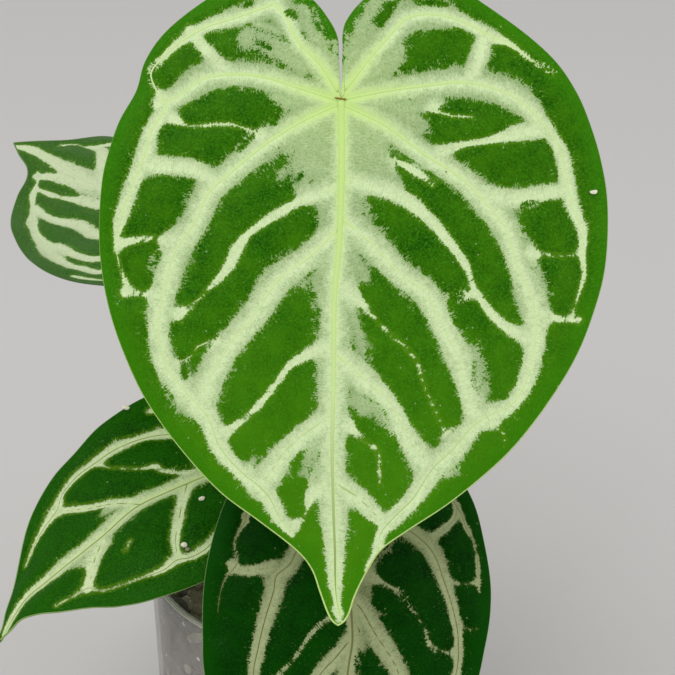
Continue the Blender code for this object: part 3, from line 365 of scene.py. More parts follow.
backLeaf = {
    "attach": (-46.7, 56.3, 234.7), "tip": (-0.664, 0.738, -0.122), "face": (-0.457, -0.271, 0.847),
    "bend": -0.0022, "lobeBend": 0.0049, "curlRight": -0.0129, "curlLeft": 0.026,
    "right": [(0, -1.2), (0.6, -10), (3.4, -20.5), (11, -25.4), (25, -25), (37, -16.8), (46.4, -4),
              (51.9, 10.7), (54.8, 26.6), (52.8, 41.4), (48.7, 54.4), (44.3, 64.2), (38.2, 75.5),
              (31, 84.8), (22, 91.8), (12.9, 95.9), (7.4, 101.5), (3.8, 110.5), (0, 118.2)],
    "left": [(0, -1.2), (-0.6, -10), (-3.4, -20.5), (-11, -25.4), (-25, -25), (-37, -16.8), (-46.2, -4.6),
             (-51.8, 8.3), (-54.5, 23), (-54.2, 38), (-50.6, 52.4), (-44.3, 66), (-36.6, 78.2),
             (-29.5, 86.3), (-20.4, 92.4), (-13.4, 98.6), (-5.5, 109.7), (0, 118.2)],
    "veins": {
        "midrib": [(0, 0, 4.6), (0.7, 60.4, 5.3), (1, 67.7, 5.6), (0.1, 82.3, 3.6), (-0.8, 95.1, 2.2),
                   (-0.9, 107.6, 1.9), (1.2, 116, 0.8)],
        "minorRight1": [(3, 67, 3.8), (4.9, 80.5, 2.9), (7, 87.4, 1.9), (9.1, 93.2, 1.7)],
        "lateralRight2": [(1.6, 36, 2.4), (8.4, 52.8, 2.6), (9.8, 61.4, 2.6), (12.6, 71.9, 0.9),
                          (14.1, 79.9, 1.2), (14.3, 88.6, 0.3)],
        "lateralRight1": [(0.6, 17, 2.6), (15, 27, 2.4), (22.4, 37.6, 3), (21.6, 50.3, 3.1),
                          (24.4, 61.6, 2.2), (24.8, 70.9, 1.8), (23.7, 78, 2.2)],
        "minorRight2": [(20, 10, 2.2), (34.3, 21.4, 2.1), (37.6, 32.3, 2), (37.5, 43.1, 2.8),
                        (38.3, 52.4, 1.3), (36.4, 61.5, 1.4)],
        "collectRight": [(0.6, 1, 3), (14, 5, 2.6), (29, 8, 2.2), (40.1, 11.4, 2.1), (42.3, 20.1, 1.9),
                         (44.6, 28.9, 2.1), (43.6, 38.7, 3.1), (40.7, 48.9, 3.2), (36.2, 61, 1.4),
                         (30.6, 71.2, 2.4), (25.1, 78.5, 0.5), (18.3, 85.7, 1.5), (11.4, 90.6, 0.2),
                         (6.9, 95.4, 0.2)],
        "minorRight3": [(44.7, 4.8, 0.2), (47.5, 11.5, 0.7), (49.2, 17.9, 0.5)],
        "lobeRight": [(1, -2, 2.8), (10, -13.5, 2.6), (23, -17, 2.4), (36, -8, 2), (44.8, 4.8, 0.2),
                      (49.2, 17.9, 0.5)],
        "collectLeft": [(-0.6, 1, 3), (-14, 5, 3), (-30, 15, 3), (-41, 30, 3), (-43, 42, 3), (-36, 61, 2.6),
                        (-25, 77, 2), (-15.6, 85, 0.2), (-13.8, 92.3, 0.2), (-9.4, 97.4, 0.6)],
        "lateralLeft1": [(-0.6, 18, 3), (-15, 29, 2.6), (-23, 45, 2.4), (-29, 68, 2.4)],
        "minorLeft1": [(-2.8, 61.9, 3.2), (-9.7, 68.9, 2.7), (-16.5, 78, 2.6), (-15.5, 85.4, 0.8)],
        "lobeLeft": [(-1, -2, 2.8), (-10, -13.5, 2.6), (-23, -17, 2.4), (-36, -8, 2), (-46, 8, 1.6),
                     (-49, 24, 1)],
    },
    "duskFrom": -25, "duskMost": 0.15, "webs": [], "bare": [],
    "rows": 140, "columns": 58, "seed": 11,
}


def unit(vector):
    vector = np.array(vector, dtype=float)
    return vector / np.linalg.norm(vector)


def arc(curvature, distance):
    # Advance and sag after a distance on a circle: sin(kd)/k and (1 - cos(kd))/k
    curvature = np.where(np.abs(curvature) < 1e-6, 1e-6, curvature)
    return np.sin(curvature * distance) / curvature, (1 - np.cos(curvature * distance)) / curvature


def placeOnLeaf(leaf, u, v, height):
    # The flat blade is rolled on a circle along the midrib and on another across each half,
    # and a point is raised by its height along the normal of the midrib's circle
    tip = unit(leaf["tip"])
    face = unit(np.array(leaf["face"]) - tip * np.dot(leaf["face"], tip))
    side = np.cross(face, tip)
    bend = np.where(v > 0, leaf["bend"], leaf["lobeBend"])
    curl = np.where(u > 0, leaf["curlRight"], leaf["curlLeft"])
    ahead, sag = arc(bend, v)
    across, droop = arc(curl, u)
    normal = np.cos(bend * v)[..., None] * face + np.sin(bend * v)[..., None] * tip
    place = np.array(leaf["attach"]) + across[..., None] * side + ahead[..., None] * tip
    return (place - sag[..., None] * face + (height - droop)[..., None] * normal) * mm


def routeDistance(flat, route):
    # Distance from each flat point to a route, with the nearest place's length and third column
    start = route[:-1]
    run = route[1:, :2] - start[:, :2]
    before = np.concatenate([[0], np.cumsum(np.linalg.norm(run, axis=1))])
    best = np.full(len(flat), 1e9)
    along = np.zeros(len(flat))
    carried = np.zeros(len(flat))
    for first in range(0, len(flat), 8000):
        part = flat[first:first + 8000]
        gap = part[:, None] - start[None, :, :2]
        share = np.clip((gap * run).sum(-1) / np.maximum((run ** 2).sum(-1), 1e-9), 0, 1)
        off = np.linalg.norm(gap - share[..., None] * run, axis=-1)
        near = off.argmin(1)
        row = np.arange(len(part))
        best[first:first + 8000] = off[row, near]
        s = share[row, near]
        along[first:first + 8000] = before[near] + s * np.linalg.norm(run, axis=1)[near]
        if route.shape[1] > 2:
            carried[first:first + 8000] = route[near, 2] * (1 - s) + route[near + 1, 2] * s
    return best, along, carried


def bladeFields(leaf, flat):
    # For each flat point: how far it lies inside the silver band of the nearest veins, as a soft
    # maximum of half width minus distance; its place beside the nearest vein; its distance to the margin
    routes = {name: smoothRoute(points, 1.6) for name, points in leaf["veins"].items()}
    total = np.zeros(len(flat))
    leading = np.full(len(flat), -1e9)
    beside = np.zeros(len(flat))
    along = np.zeros(len(flat))
    chief = np.full(len(flat), 1e9)
    every = np.full(len(flat), 1e9)
    loose = np.ones(len(flat))
    for order, (name, route) in enumerate(routes.items()):
        off, length, half = routeDistance(flat, route)
        inside = half - off
        total += np.exp(np.clip(inside / 0.7, -60, 60))
        closer = inside > leading
        leading = np.where(closer, inside, leading)
        beside = np.where(closer, off, beside)
        along = np.where(closer, length + 37.0 * order, along)
        loose = np.where(closer, np.clip(half / 2.4, 0.5, 1), loose)
        every = np.minimum(every, off)
        if not name.startswith("minor"):
            chief = np.minimum(chief, off)
    for points in leaf["webs"]:  # silver that fills the corner between two veins
        off, length, half = routeDistance(flat, smoothRoute(points, 1.6))
        total += np.exp(np.clip((half - off) / 0.7, -60, 60))
        loose = np.where(half - off > leading, 1, loose)
    silver = 0.7 * np.log(total + 1e-30)
    for points in leaf["bare"]:  # places inside the silver that stay green
        off, length, half = routeDistance(flat, smoothRoute(points, 1.0))
        silver = np.minimum(silver, 1.2 * (off - half))
        loose = np.where(off < half + 2, 1.2, loose)
    outline = np.vstack([smoothRoute(leaf["right"], 1.6), smoothRoute(leaf["left"], 1.6)[::-1]])
    edge = routeDistance(flat, outline)[0]
    middle = routeDistance(flat, routes["midrib"])[0]
    span = np.minimum(np.linalg.norm(flat, axis=1), middle * 7 + np.clip(flat[:, 1] * 0.2, 0, None))
    down = flat[:, 1] / leaf["right"][-1][1]
    return {"silver": silver, "loose": loose, "beside": beside, "along": along, "chief": chief,
            "every": every, "edge": edge, "span": span, "down": down}


def bladeHeight(leaf, flat, chief, edge):
    # Quilting rises between the chief veins; waves grow towards the margin
    length = leaf["right"][-1][1]
    quilt = 1.5 * (1 - np.exp(-(chief / 6.5) ** 2)) * np.clip(edge / 6.5, 0, 1)
    angle = np.arctan2(flat[:, 0], flat[:, 1] - 0.3 * length)
    reach = np.hypot(flat[:, 0], flat[:, 1] - 0.3 * length) / (0.6 * length)
    return quilt + 1.3 * reach ** 3 * np.sin(9 * angle) * np.clip(np.abs(flat[:, 0]) / 20, 0, 1)


def halfGrid(leaf, margin, rows, columns):
    # One half of the blade: rays from the midrib to the margin. The ray's foot v0 follows the margin's
    # v less 0.55 of its u, kept rising, so the rays fan round the petiole and then sweep to the tip
    length = margin[-1][1]
    rim = smoothRoute(margin, 0.5)
    share = np.linspace(0, 1, len(rim)) + 0.08 * np.sin(np.linspace(0, np.pi, len(rim)))
    pick = np.interp(np.linspace(0, 1, rows), share / share[-1], np.arange(len(rim)))
    rim = np.stack([np.interp(pick, np.arange(len(rim)), rim[:, i]) for i in range(2)], axis=1)
    foot = np.clip(rim[:, 1] - 0.55 * np.abs(rim[:, 0]), 0, length)
    foot = np.maximum.accumulate(foot)
    window = np.ones(15) / 15
    foot = np.convolve(np.pad(foot, 7, mode="edge"), window, mode="valid")
    foot = foot * (length - 1.6) / foot[-1] + np.linspace(0, 1, rows) * 0.6
    foot = np.minimum(foot - foot[0], length - 1.2)
    rib = np.array(leaf["veins"]["midrib"])
    rib = np.vstack([rib[:, :2], [margin[-1]]])
    base = np.stack([np.interp(foot, rib[:, 1], rib[:, 0]), foot], axis=1)
    t = np.linspace(0, 1, columns)[None, :, None]
    return base[:, None] * (1 - t) + rim[:, None] * t


def makeBlade(name, leaf, topMaterial, underMaterial):
    rows, columns = leaf["rows"], leaf["columns"]
    right = halfGrid(leaf, leaf["right"], rows, columns)
    left = halfGrid(leaf, leaf["left"], rows, columns)
    left[:, 0] = right[:, 0]
    left[0], left[-1] = right[0], right[-1]
    flat = np.concatenate([right.reshape(-1, 2), left.reshape(-1, 2)])
    count = rows * columns
    own = np.arange(2 * count)
    indexRight = own[:count].reshape(rows, columns)
    indexLeft = own[count:].reshape(rows, columns).copy()
    indexLeft[:, 0] = indexRight[:, 0]
    indexLeft[0], indexLeft[-1] = indexRight[0], indexRight[-1]

    fields = bladeFields(leaf, flat)
    rng = np.random.default_rng(leaf["seed"])
    height = bladeHeight(leaf, flat, fields["chief"], fields["edge"])
    fade = np.clip(fields["edge"] / 5, 0, 1)
    groove = 0.28 * np.exp(-(fields["every"] / 1.1) ** 2) * fade
    puff = 0.3 * (1 - np.exp(-(fields["every"] / 3) ** 2)) * fade
    top = height + puff - groove
    sheet = 0.32 + 0.25 * np.clip(fields["edge"] / 12, 0, 1)
    cord = 1.2 * np.exp(-(fields["chief"] / 1.3) ** 2) * np.clip(fields["edge"] / 14, 0.1, 1)
    cord += 0.5 * np.exp(-(fields["every"] / 0.9) ** 2) * fade
    bottom = height - sheet - cord
    upper = placeOnLeaf(leaf, flat[:, 0], flat[:, 1], top)
    lower = placeOnLeaf(leaf, flat[:, 0], flat[:, 1], bottom)

    def wind(index, flip):
        a, b, c, d = index[:-1, :-1], index[:-1, 1:], index[1:, 1:], index[1:, :-1]
        quads = np.stack([a, b, c, d], axis=-1).reshape(-1, 4)
        return quads[:, ::-1] if flip else quads

    total = 2 * count
    tops = np.vstack([wind(indexRight, True), wind(indexLeft, False)])
    unders = tops[:, ::-1] + total
    rimRight, rimLeft = indexRight[:, -1], indexLeft[:, -1]
    closing = [np.stack([rimRight[:-1], rimRight[1:], rimRight[1:] + total, rimRight[:-1] + total], axis=1),
               np.stack([rimLeft[:-1], rimLeft[:-1] + total, rimLeft[1:] + total, rimLeft[1:]], axis=1)]
    faces = np.vstack([tops, unders] + closing)
    used = np.unique(faces)
    renumber = np.zeros(2 * total, dtype=int)
    renumber[used] = np.arange(len(used))
    points = np.vstack([upper, lower])[used]
    slots = np.concatenate([np.zeros(len(tops)), np.ones(len(unders)), np.zeros(2 * (rows - 1))])
    both = {key: np.tile(values, 2)[used] for key, values in fields.items()}
    piece = makePiece(name, points, renumber[faces], [topMaterial, underMaterial], both, slots, 60)
    return piece


def veinThreads(name, leaf, material):
    # Each vein's own thread: a flattened tube that tapers outwards, sunk half way into the upper face
    parts = []
    warm = []
    dusk = []
    size = leaf["right"][-1][1] / 175
    for key, points in leaf["veins"].items():
        route = smoothRoute(points, 1.5)
        flat = route[:, :2]
        fields = bladeFields(leaf, flat)
        height = bladeHeight(leaf, flat, fields["chief"], fields["edge"])
        rise = height - 0.28 * np.clip(fields["edge"] / 5, 0, 1)
        places = placeOnLeaf(leaf, flat[:, 0], flat[:, 1], rise)
        above = placeOnLeaf(leaf, flat[:, 0], flat[:, 1], rise + 1) - places
        above /= np.linalg.norm(above, axis=1)[:, None]
        share = np.linspace(0, 1, len(route))
        if key == "midrib":
            radius = 1.15 * size ** 4 * (1 - share) ** 0.8 + 0.12
        elif key.startswith("minor"):
            radius = 0.15 - 0.07 * share
        else:
            radius = 0.32 * size ** 2 * (1 - share) ** 0.7 + 0.08
        radius = radius * np.clip((1 - share) * 12, 0.3, 1)
        parts.append(cappedTube(places, radius * mm, 8, flat=0.55, up=above))
        reach = np.linalg.norm(flat, axis=1)
        glow = np.clip(1.15 - reach / 120, 0, 1) if key == "midrib" else np.clip(1 - reach / 50, 0, 1)
        gloom = np.clip((flat[:, 1] - leaf["duskFrom"]) / 60, 0, 1) * leaf["duskMost"]
        gloom = gloom * (0.4 if key.startswith("minor") else 1)
        for values, kept in ((glow, warm), (gloom, dusk)):
            kept.append(np.concatenate([np.repeat(values, 8), values[:1], values[-1:]]))
    if "scar" in leaf:  # brown crease where the petiole joins behind
        flat = np.linspace(*np.array(leaf["scar"]), 9)
        places = placeOnLeaf(leaf, flat[:, 0], flat[:, 1], np.full(9, 0.5))
        parts.append(cappedTube(places, np.full(9, 0.26) * mm, 8))
        for value, kept in ((0, warm), (2, dusk)):
            kept.append(np.full(len(parts[-1][0]), value))
    points, faces = gather(parts)
    return makePiece(name, points, faces, [material],
                     {"warm": np.concatenate(warm), "dusk": np.concatenate(dusk)})


def marginThread(name, leaf, material):
    # The blade's thickened rim: a thin round cord along the whole outline. Its colour runs from dark green at the base
    # to pale towards the tip, partly the margin's own pale tissue and partly a painted highlight of the rolled edge
    # catching light
    outline = np.vstack([smoothRoute(leaf["right"], 1.2), smoothRoute(leaf["left"], 1.2)[-2::-1]])
    fields = bladeFields(leaf, outline)
    height = bladeHeight(leaf, outline, fields["chief"], fields["edge"])
    places = placeOnLeaf(leaf, outline[:, 0], outline[:, 1], height - 0.16)
    radius = 0.18 + 0.2 * np.clip(outline[:, 1] / outline[:, 1].max(), 0, 1) ** 3
    points, faces = cappedTube(places, radius * mm, 7)
    tone = np.concatenate([np.repeat(outline[:, 1], 7), outline[:1, 1], outline[-1:, 1]])
    return makePiece(name, points, faces, [material], {"warm": np.clip(tone / outline[:, 1].max(), 0, 1),
                                                      "dusk": np.zeros(len(points))})


def bladeMaterial(name, look):
    # Anthurium blade: living leaf with a velvety, slightly waxy skin. Deep green panels lie between veins
    # dusted with silver air-filled cells, which are bright beside each vein and worn to green further out.
    material, tree, shader = newMaterial(name, roughness=0.5, Specular_IOR_Level=look["gloss"])
    place = addNode(tree, "ShaderNodeTexCoord").outputs["Object"]
    read = {key: addNode(tree, "ShaderNodeAttribute", attribute_name=key).outputs["Fac"]
            for key in ("silver", "loose", "beside", "along", "edge", "every", "chief", "span", "down")}

    # hair-fine streaks run off from the veins, drawn 0.5 mm wide and 2 mm long; grains are drawn at
    # 0.7 mm, coarser than the real cells, so that they show
    runAlong = addNode(tree, "ShaderNodeMath", {0: read["along"], 1: look["hairs"]}, operation="MULTIPLY")
    runOff = addNode(tree, "ShaderNodeMath", {0: read["beside"], 1: 0.5}, operation="MULTIPLY")
    runPlace = addNode(tree, "ShaderNodeCombineXYZ", {0: runAlong.outputs[0], 1: runOff.outputs[0]})
    hair = addNode(tree, "ShaderNodeTexNoise", {"Vector": runPlace.outputs[0], "Scale": 1.0, "Detail": 2.0,
                                                "Roughness": 0.6}).outputs["Fac"]
    grain = addNode(tree, "ShaderNodeTexNoise", {"Vector": place, "Scale": 1 / (0.7 * mm), "Detail": 3.0,
                                                 "Roughness": 0.75}).outputs["Fac"]
    clump = addNode(tree, "ShaderNodeTexNoise", {"Vector": place, "Scale": 1 / (3.2 * mm), "Detail": 4.0,
                                                 "Roughness": 0.65}).outputs["Fac"]

    # the silver's edge: its drawn depth plus streaks in tufts, grains and clumps, rougher far from a vein
    tuft = addNode(tree, "ShaderNodeMapRange", {"Value": clump, "From Min": 0.4, "From Max": 0.62,
                                                "To Min": 0.2, "To Max": 1.5})
    frayed = addNode(tree, "ShaderNodeMath", {0: hair, 1: look["fray"], 2: -0.5 * look["fray"]},
                     operation="MULTIPLY_ADD")
    frayed = addNode(tree, "ShaderNodeMath", {0: frayed.outputs[0], 1: tuft.outputs[0], 2: -3.5},
                     operation="MULTIPLY_ADD")
    frayed = addNode(tree, "ShaderNodeMath", {0: grain, 1: 3.6, 2: frayed.outputs[0]},
                     operation="MULTIPLY_ADD")
    frayed = addNode(tree, "ShaderNodeMath", {0: clump, 1: 3.4, 2: frayed.outputs[0]},
                     operation="MULTIPLY_ADD")
    farOff = addNode(tree, "ShaderNodeMapRange", {"Value": read["every"], "From Min": 3.0, "From Max": 8.0,
                                                  "To Min": 0.85, "To Max": 2.0},
                     interpolation_type="SMOOTHSTEP")
    farOff = addNode(tree, "ShaderNodeMath", {0: farOff.outputs[0], 1: read["loose"]}, operation="MULTIPLY")
    depth = addNode(tree, "ShaderNodeMath", {0: frayed.outputs[0], 1: farOff.outputs[0], 2: read["silver"]},
                    operation="MULTIPLY_ADD").outputs[0]
    silverMask = addNode(tree, "ShaderNodeMapRange", {"Value": depth, "From Min": -0.25, "From Max": 0.2},
                         interpolation_type="SMOOTHSTEP").outputs[0]

    # bright dusting by the vein, greyer and pitted with green pores further out
    reach = addNode(tree, "ShaderNodeMath", {0: read["down"], 1: 4.0, 2: look["brightReach"]},
                    operation="MULTIPLY_ADD")
    away = addNode(tree, "ShaderNodeMapRange", {"Value": read["every"], "From Min": 0.8,
                                                "From Max": reach.outputs[0]})
    away = addNode(tree, "ShaderNodeMath", {0: hair, 1: 0.8, 2: away.outputs[0]}, operation="MULTIPLY_ADD")
    away = addNode(tree, "ShaderNodeMath", {0: clump, 1: 1.2, 2: away.outputs[0]}, operation="MULTIPLY_ADD")
    away = addNode(tree, "ShaderNodeMath", {0: away.outputs[0], 1: -1.0}, use_clamp=True).outputs[0]
    silver = addNode(tree, "ShaderNodeMix", {0: away, 6: look["silver"], 7: look["wash"]},
                     data_type="RGBA").outputs[2]
    mottle = addNode(tree, "ShaderNodeMath", {0: hair, 1: 0.5, 2: -0.25}, operation="MULTIPLY_ADD")
    mottle = addNode(tree, "ShaderNodeMath", {0: grain, 1: mottle.outputs[0]})
    pores = addNode(tree, "ShaderNodeMapRange", {"Value": mottle.outputs[0], "From Min": 0.46,
                                                 "From Max": 0.66})
    poreShare = addNode(tree, "ShaderNodeMath", {0: away, 1: look["pitting"], 2: 0.14},
                        operation="MULTIPLY_ADD")
    pores = addNode(tree, "ShaderNodeMath", {0: pores.outputs[0], 1: poreShare.outputs[0]},
                    operation="MULTIPLY")
    silver = addNode(tree, "ShaderNodeMix", {0: pores.outputs[0], 6: silver, 7: look["pore"]},
                     data_type="RGBA").outputs[2]
    crazed = addNode(tree, "ShaderNodeTexVoronoi", {"Vector": place, "Scale": 1 / (2.3 * mm)},
                     feature="DISTANCE_TO_EDGE")
    crazed = addNode(tree, "ShaderNodeMapRange", {"Value": crazed.outputs["Distance"], "From Max": 0.09,
                                                  "To Min": 0.16, "To Max": 0.0})
    silver = addNode(tree, "ShaderNodeMix", {0: crazed.outputs[0], 6: silver, 7: look["pore"]},
                     data_type="RGBA").outputs[2]
    # warm glow of thin tissue round the petiole and along the upper midrib
    glow = addNode(tree, "ShaderNodeMapRange", {"Value": read["span"], "From Min": 3.0, "From Max": 30.0,
                                                "To Min": 0.95, "To Max": 0.0})
    glowNear = addNode(tree, "ShaderNodeMapRange", {"Value": read["every"], "From Min": 0.8, "From Max": 3.0,
                                                    "To Min": 1.0, "To Max": 0.25},
                       interpolation_type="SMOOTHSTEP")
    glow = addNode(tree, "ShaderNodeMath", {0: glow.outputs[0], 1: glowNear.outputs[0]},
                   operation="MULTIPLY")
    line = addNode(tree, "ShaderNodeMapRange", {"Value": read["chief"], "From Min": 0.35, "From Max": 0.95,
                                                "To Min": 1.0, "To Max": 0.0})
    lineFade = addNode(tree, "ShaderNodeMapRange", {"Value": read["span"], "From Min": 15.0, "From Max": 75.0,
                                                    "To Min": 0.75, "To Max": 0.15})
    line = addNode(tree, "ShaderNodeMath", {0: line.outputs[0], 1: lineFade.outputs[0]},
                   operation="MULTIPLY")
    glow = addNode(tree, "ShaderNodeMath", {0: glow.outputs[0], 1: line.outputs[0]}, operation="MAXIMUM")
    silver = addNode(tree, "ShaderNodeMix", {0: glow.outputs[0], 6: silver, 7: look["yellow"]},
                     data_type="RGBA").outputs[2]

    # green panels: blotched deep and mid green, lighter to the tip and the margin, with a faint net
    tone = addNode(tree, "ShaderNodeTexNoise", {"Vector": place, "Scale": 1 / (8 * mm), "Detail": 6.0,
                                                "Roughness": 0.6})
    tone = addNode(tree, "ShaderNodeMapRange", {"Value": tone.outputs["Fac"], "From Min": 0.3,
                                                "From Max": 0.7})
    green = addNode(tree, "ShaderNodeMix", {0: tone.outputs[0], 6: look["deep"], 7: look["green"]},
                    data_type="RGBA").outputs[2]
    toTip = addNode(tree, "ShaderNodeMapRange", {"Value": read["down"], "From Min": 0.3, "From Max": 1.0,
                                                 "To Max": 0.75})
    green = addNode(tree, "ShaderNodeMix", {0: toTip.outputs[0], 6: green, 7: look["tipGreen"]},
                    data_type="RGBA").outputs[2]
    toMargin = addNode(tree, "ShaderNodeMapRange", {"Value": read["edge"], "From Min": 0.5, "From Max": 8.0,
                                                    "To Min": 0.7, "To Max": 0.0},
                       interpolation_type="SMOOTHSTEP")
    green = addNode(tree, "ShaderNodeMix", {0: toMargin.outputs[0], 6: green, 7: look["marginGreen"]},
                    data_type="RGBA").outputs[2]
    net = addNode(tree, "ShaderNodeTexVoronoi", {"Vector": place, "Scale": 1 / (2.6 * mm)},
                  feature="DISTANCE_TO_EDGE")
    netLine = addNode(tree, "ShaderNodeMapRange", {"Value": net.outputs["Distance"], "From Max": 0.08,
                                                   "To Min": 0.2, "To Max": 0.0})
    green = addNode(tree, "ShaderNodeMix", {0: netLine.outputs[0], 6: green, 7: look["netGreen"]},
                    data_type="RGBA").outputs[2]
    fine = addNode(tree, "ShaderNodeMapRange", {"Value": grain, "From Min": 0.4, "From Max": 0.68,
                                                "To Max": 0.7})
    green = addNode(tree, "ShaderNodeMix", {0: fine.outputs[0], 6: green, 7: look["netGreen"]},
                    data_type="RGBA").outputs[2]
    # yellowish halo where silver thins out, and silver specks thrown a little way into the green
    halo = addNode(tree, "ShaderNodeMapRange", {"Value": depth, "From Min": -look["haloWide"],
                                                "From Max": -0.2, "To Max": 0.65}, interpolation_type="SMOOTHSTEP")
    green = addNode(tree, "ShaderNodeMix", {0: halo.outputs[0], 6: green, 7: look["halo"]},
                    data_type="RGBA").outputs[2]
    speckNear = addNode(tree, "ShaderNodeMapRange", {"Value": read["silver"], "From Min": -5.0,
                                                     "From Max": 0.0, "To Max": 0.8})
    speck = addNode(tree, "ShaderNodeMapRange", {"Value": mottle.outputs[0], "From Min": 0.66,
                                                 "From Max": 0.76})
    speck = addNode(tree, "ShaderNodeMath", {0: speck.outputs[0], 1: speckNear.outputs[0]},
                    operation="MULTIPLY")
    green = addNode(tree, "ShaderNodeMix", {0: speck.outputs[0], 6: green, 7: look["wash"]},
                    data_type="RGBA").outputs[2]
    dust = addNode(tree, "ShaderNodeTexVoronoi", {"Vector": place, "Scale": 1 / (6.5 * mm)})
    dust = addNode(tree, "ShaderNodeMapRange", {"Value": dust.outputs["Distance"], "From Min": 0.03,
                                                "From Max": 0.06, "To Min": 0.55, "To Max": 0.0})
    green = addNode(tree, "ShaderNodeMix", {0: dust.outputs[0], 6: green, 7: look["wash"]},
                    data_type="RGBA").outputs[2]

    skin = addNode(tree, "ShaderNodeMix", {0: silverMask, 6: green, 7: silver}, data_type="RGBA")
    tree.links.new(skin.outputs[2], shader.inputs["Base Color"])
    rough = addNode(tree, "ShaderNodeMapRange", {"Value": silverMask, "To Min": look["roughGreen"],
                                                 "To Max": look["roughSilver"]})
    tree.links.new(rough.outputs[0], shader.inputs["Roughness"])
    # skin cells, drawn at 0.4 mm so that they show, over the ridges of the small net
    cells = addNode(tree, "ShaderNodeTexVoronoi", {"Vector": place, "Scale": 1 / (0.4 * mm)})
    relief = addNode(tree, "ShaderNodeMath", {0: cells.outputs["Distance"], 1: 0.5, 2: netLine.outputs[0]},
                     operation="MULTIPLY_ADD")
    bump = addNode(tree, "ShaderNodeBump", {"Height": relief.outputs[0], "Strength": 0.35,
                                            "Distance": 0.15 * mm})
    tree.links.new(bump.outputs[0], shader.inputs["Normal"])
    return material


def undersideMaterial():
    # Underside: paler matt green with the veins standing out as light cords
    material, tree, shader = newMaterial("leafUnderside", roughness=0.6)
    place = addNode(tree, "ShaderNodeTexCoord").outputs["Object"]
    every = addNode(tree, "ShaderNodeAttribute", attribute_name="every").outputs["Fac"]
    tone = addNode(tree, "ShaderNodeTexNoise", {"Vector": place, "Scale": 1 / (7 * mm), "Detail": 5.0})
    skin = addNode(tree, "ShaderNodeMix", {0: tone.outputs["Fac"], 6: linear("6f9a55"), 7: linear("86ad69")},
                   data_type="RGBA")
    cord = addNode(tree, "ShaderNodeMapRange", {"Value": every, "From Min": 0.5, "From Max": 1.6,
                                                "To Min": 0.85, "To Max": 0.0},
                   interpolation_type="SMOOTHSTEP")
    skin = addNode(tree, "ShaderNodeMix", {0: cord.outputs[0], 6: skin.outputs[2], 7: linear("b5cf8c")},
                   data_type="RGBA")
    net = addNode(tree, "ShaderNodeTexVoronoi", {"Vector": place, "Scale": 1 / (2.4 * mm)},
                  feature="DISTANCE_TO_EDGE")
    line = addNode(tree, "ShaderNodeMapRange", {"Value": net.outputs["Distance"], "From Max": 0.1,
                                                "To Min": 0.35, "To Max": 0.0})
    skin = addNode(tree, "ShaderNodeMix", {0: line.outputs[0], 6: skin.outputs[2], 7: linear("a3c37e")},
                   data_type="RGBA")
    tree.links.new(skin.outputs[2], shader.inputs["Base Color"])
    bump = addNode(tree, "ShaderNodeBump", {"Height": line.outputs[0], "Strength": 0.5, "Distance": 0.2 * mm})
    tree.links.new(bump.outputs[0], shader.inputs["Normal"])
    return material


def threadMaterial(name, near, far, shade, fleck=0.35):
    # Vein thread: moist pale tissue, yellow-green by the petiole, paler further out, darkening to the tip
    material, tree, shader = newMaterial(name, roughness=0.4, Specular_IOR_Level=0.3)
    place = addNode(tree, "ShaderNodeTexCoord").outputs["Object"]
    warm = addNode(tree, "ShaderNodeAttribute", attribute_name="warm").outputs["Fac"]
    dusk = addNode(tree, "ShaderNodeAttribute", attribute_name="dusk").outputs["Fac"]
    tint = addNode(tree, "ShaderNodeMix", {0: warm, 6: linear(far), 7: linear(near)}, data_type="RGBA")
    spots = addNode(tree, "ShaderNodeTexNoise", {"Vector": place, "Scale": 1 / (0.6 * mm), "Detail": 2.0})
    spots = addNode(tree, "ShaderNodeMapRange", {"Value": spots.outputs["Fac"], "From Min": 0.4,
                                                 "From Max": 0.7, "To Max": fleck})
    spots = addNode(tree, "ShaderNodeMath", {0: spots.outputs[0], 1: dusk}, operation="MAXIMUM")
    tint = addNode(tree, "ShaderNodeMix", {0: spots.outputs[0], 6: tint.outputs[2], 7: linear(shade)},
                   data_type="RGBA")
    scar = addNode(tree, "ShaderNodeMath", {0: dusk, 1: -1.0}, use_clamp=True)
    tint = addNode(tree, "ShaderNodeMix", {0: scar.outputs[0], 6: tint.outputs[2], 7: "8a6a24"},
                   data_type="RGBA")
    tree.links.new(tint.outputs[2], shader.inputs["Base Color"])
    return material


frontLook = {"deep": "0a4000", "green": "3c6e04", "tipGreen": "54960c", "marginGreen": "357a04",
             "netGreen": "3f8a0e", "halo": "57890f", "silver": "d8ecb8", "wash": "a9c08c", "pore": "7a9e5c",
             "yellow": "c9e98a", "vein": "d4e8a8", "veinShade": "7f9650", "rimNear": "5a8a20",
             "rim": "cfe88c", "gloss": 0.03, "brightReach": 4.2, "hairs": 2.4, "fray": 4.4, "pitting": 0.6,
             "haloWide": 1.4, "fleck": 0.08, "roughGreen": 0.45, "roughSilver": 0.6}
# painted shade: the side leaf's greens, veins and rim are darker copies of the front leaf's colours, standing in for
# the shade it lies in below the front leaf
sideLook = dict(frontLook, deep="032e00", green="134e02", tipGreen="225c06", marginGreen="164e04",
                netGreen="2a6e0a", halo="5c8514", silver="d8e8b6", wash="a6be86", pore="5c8440",
                yellow="c6dc8c", vein="a9b97c", veinShade="5c6c36", rimNear="2c4a10", rim="8fb060",
                haloWide=1.9, fleck=0.3)
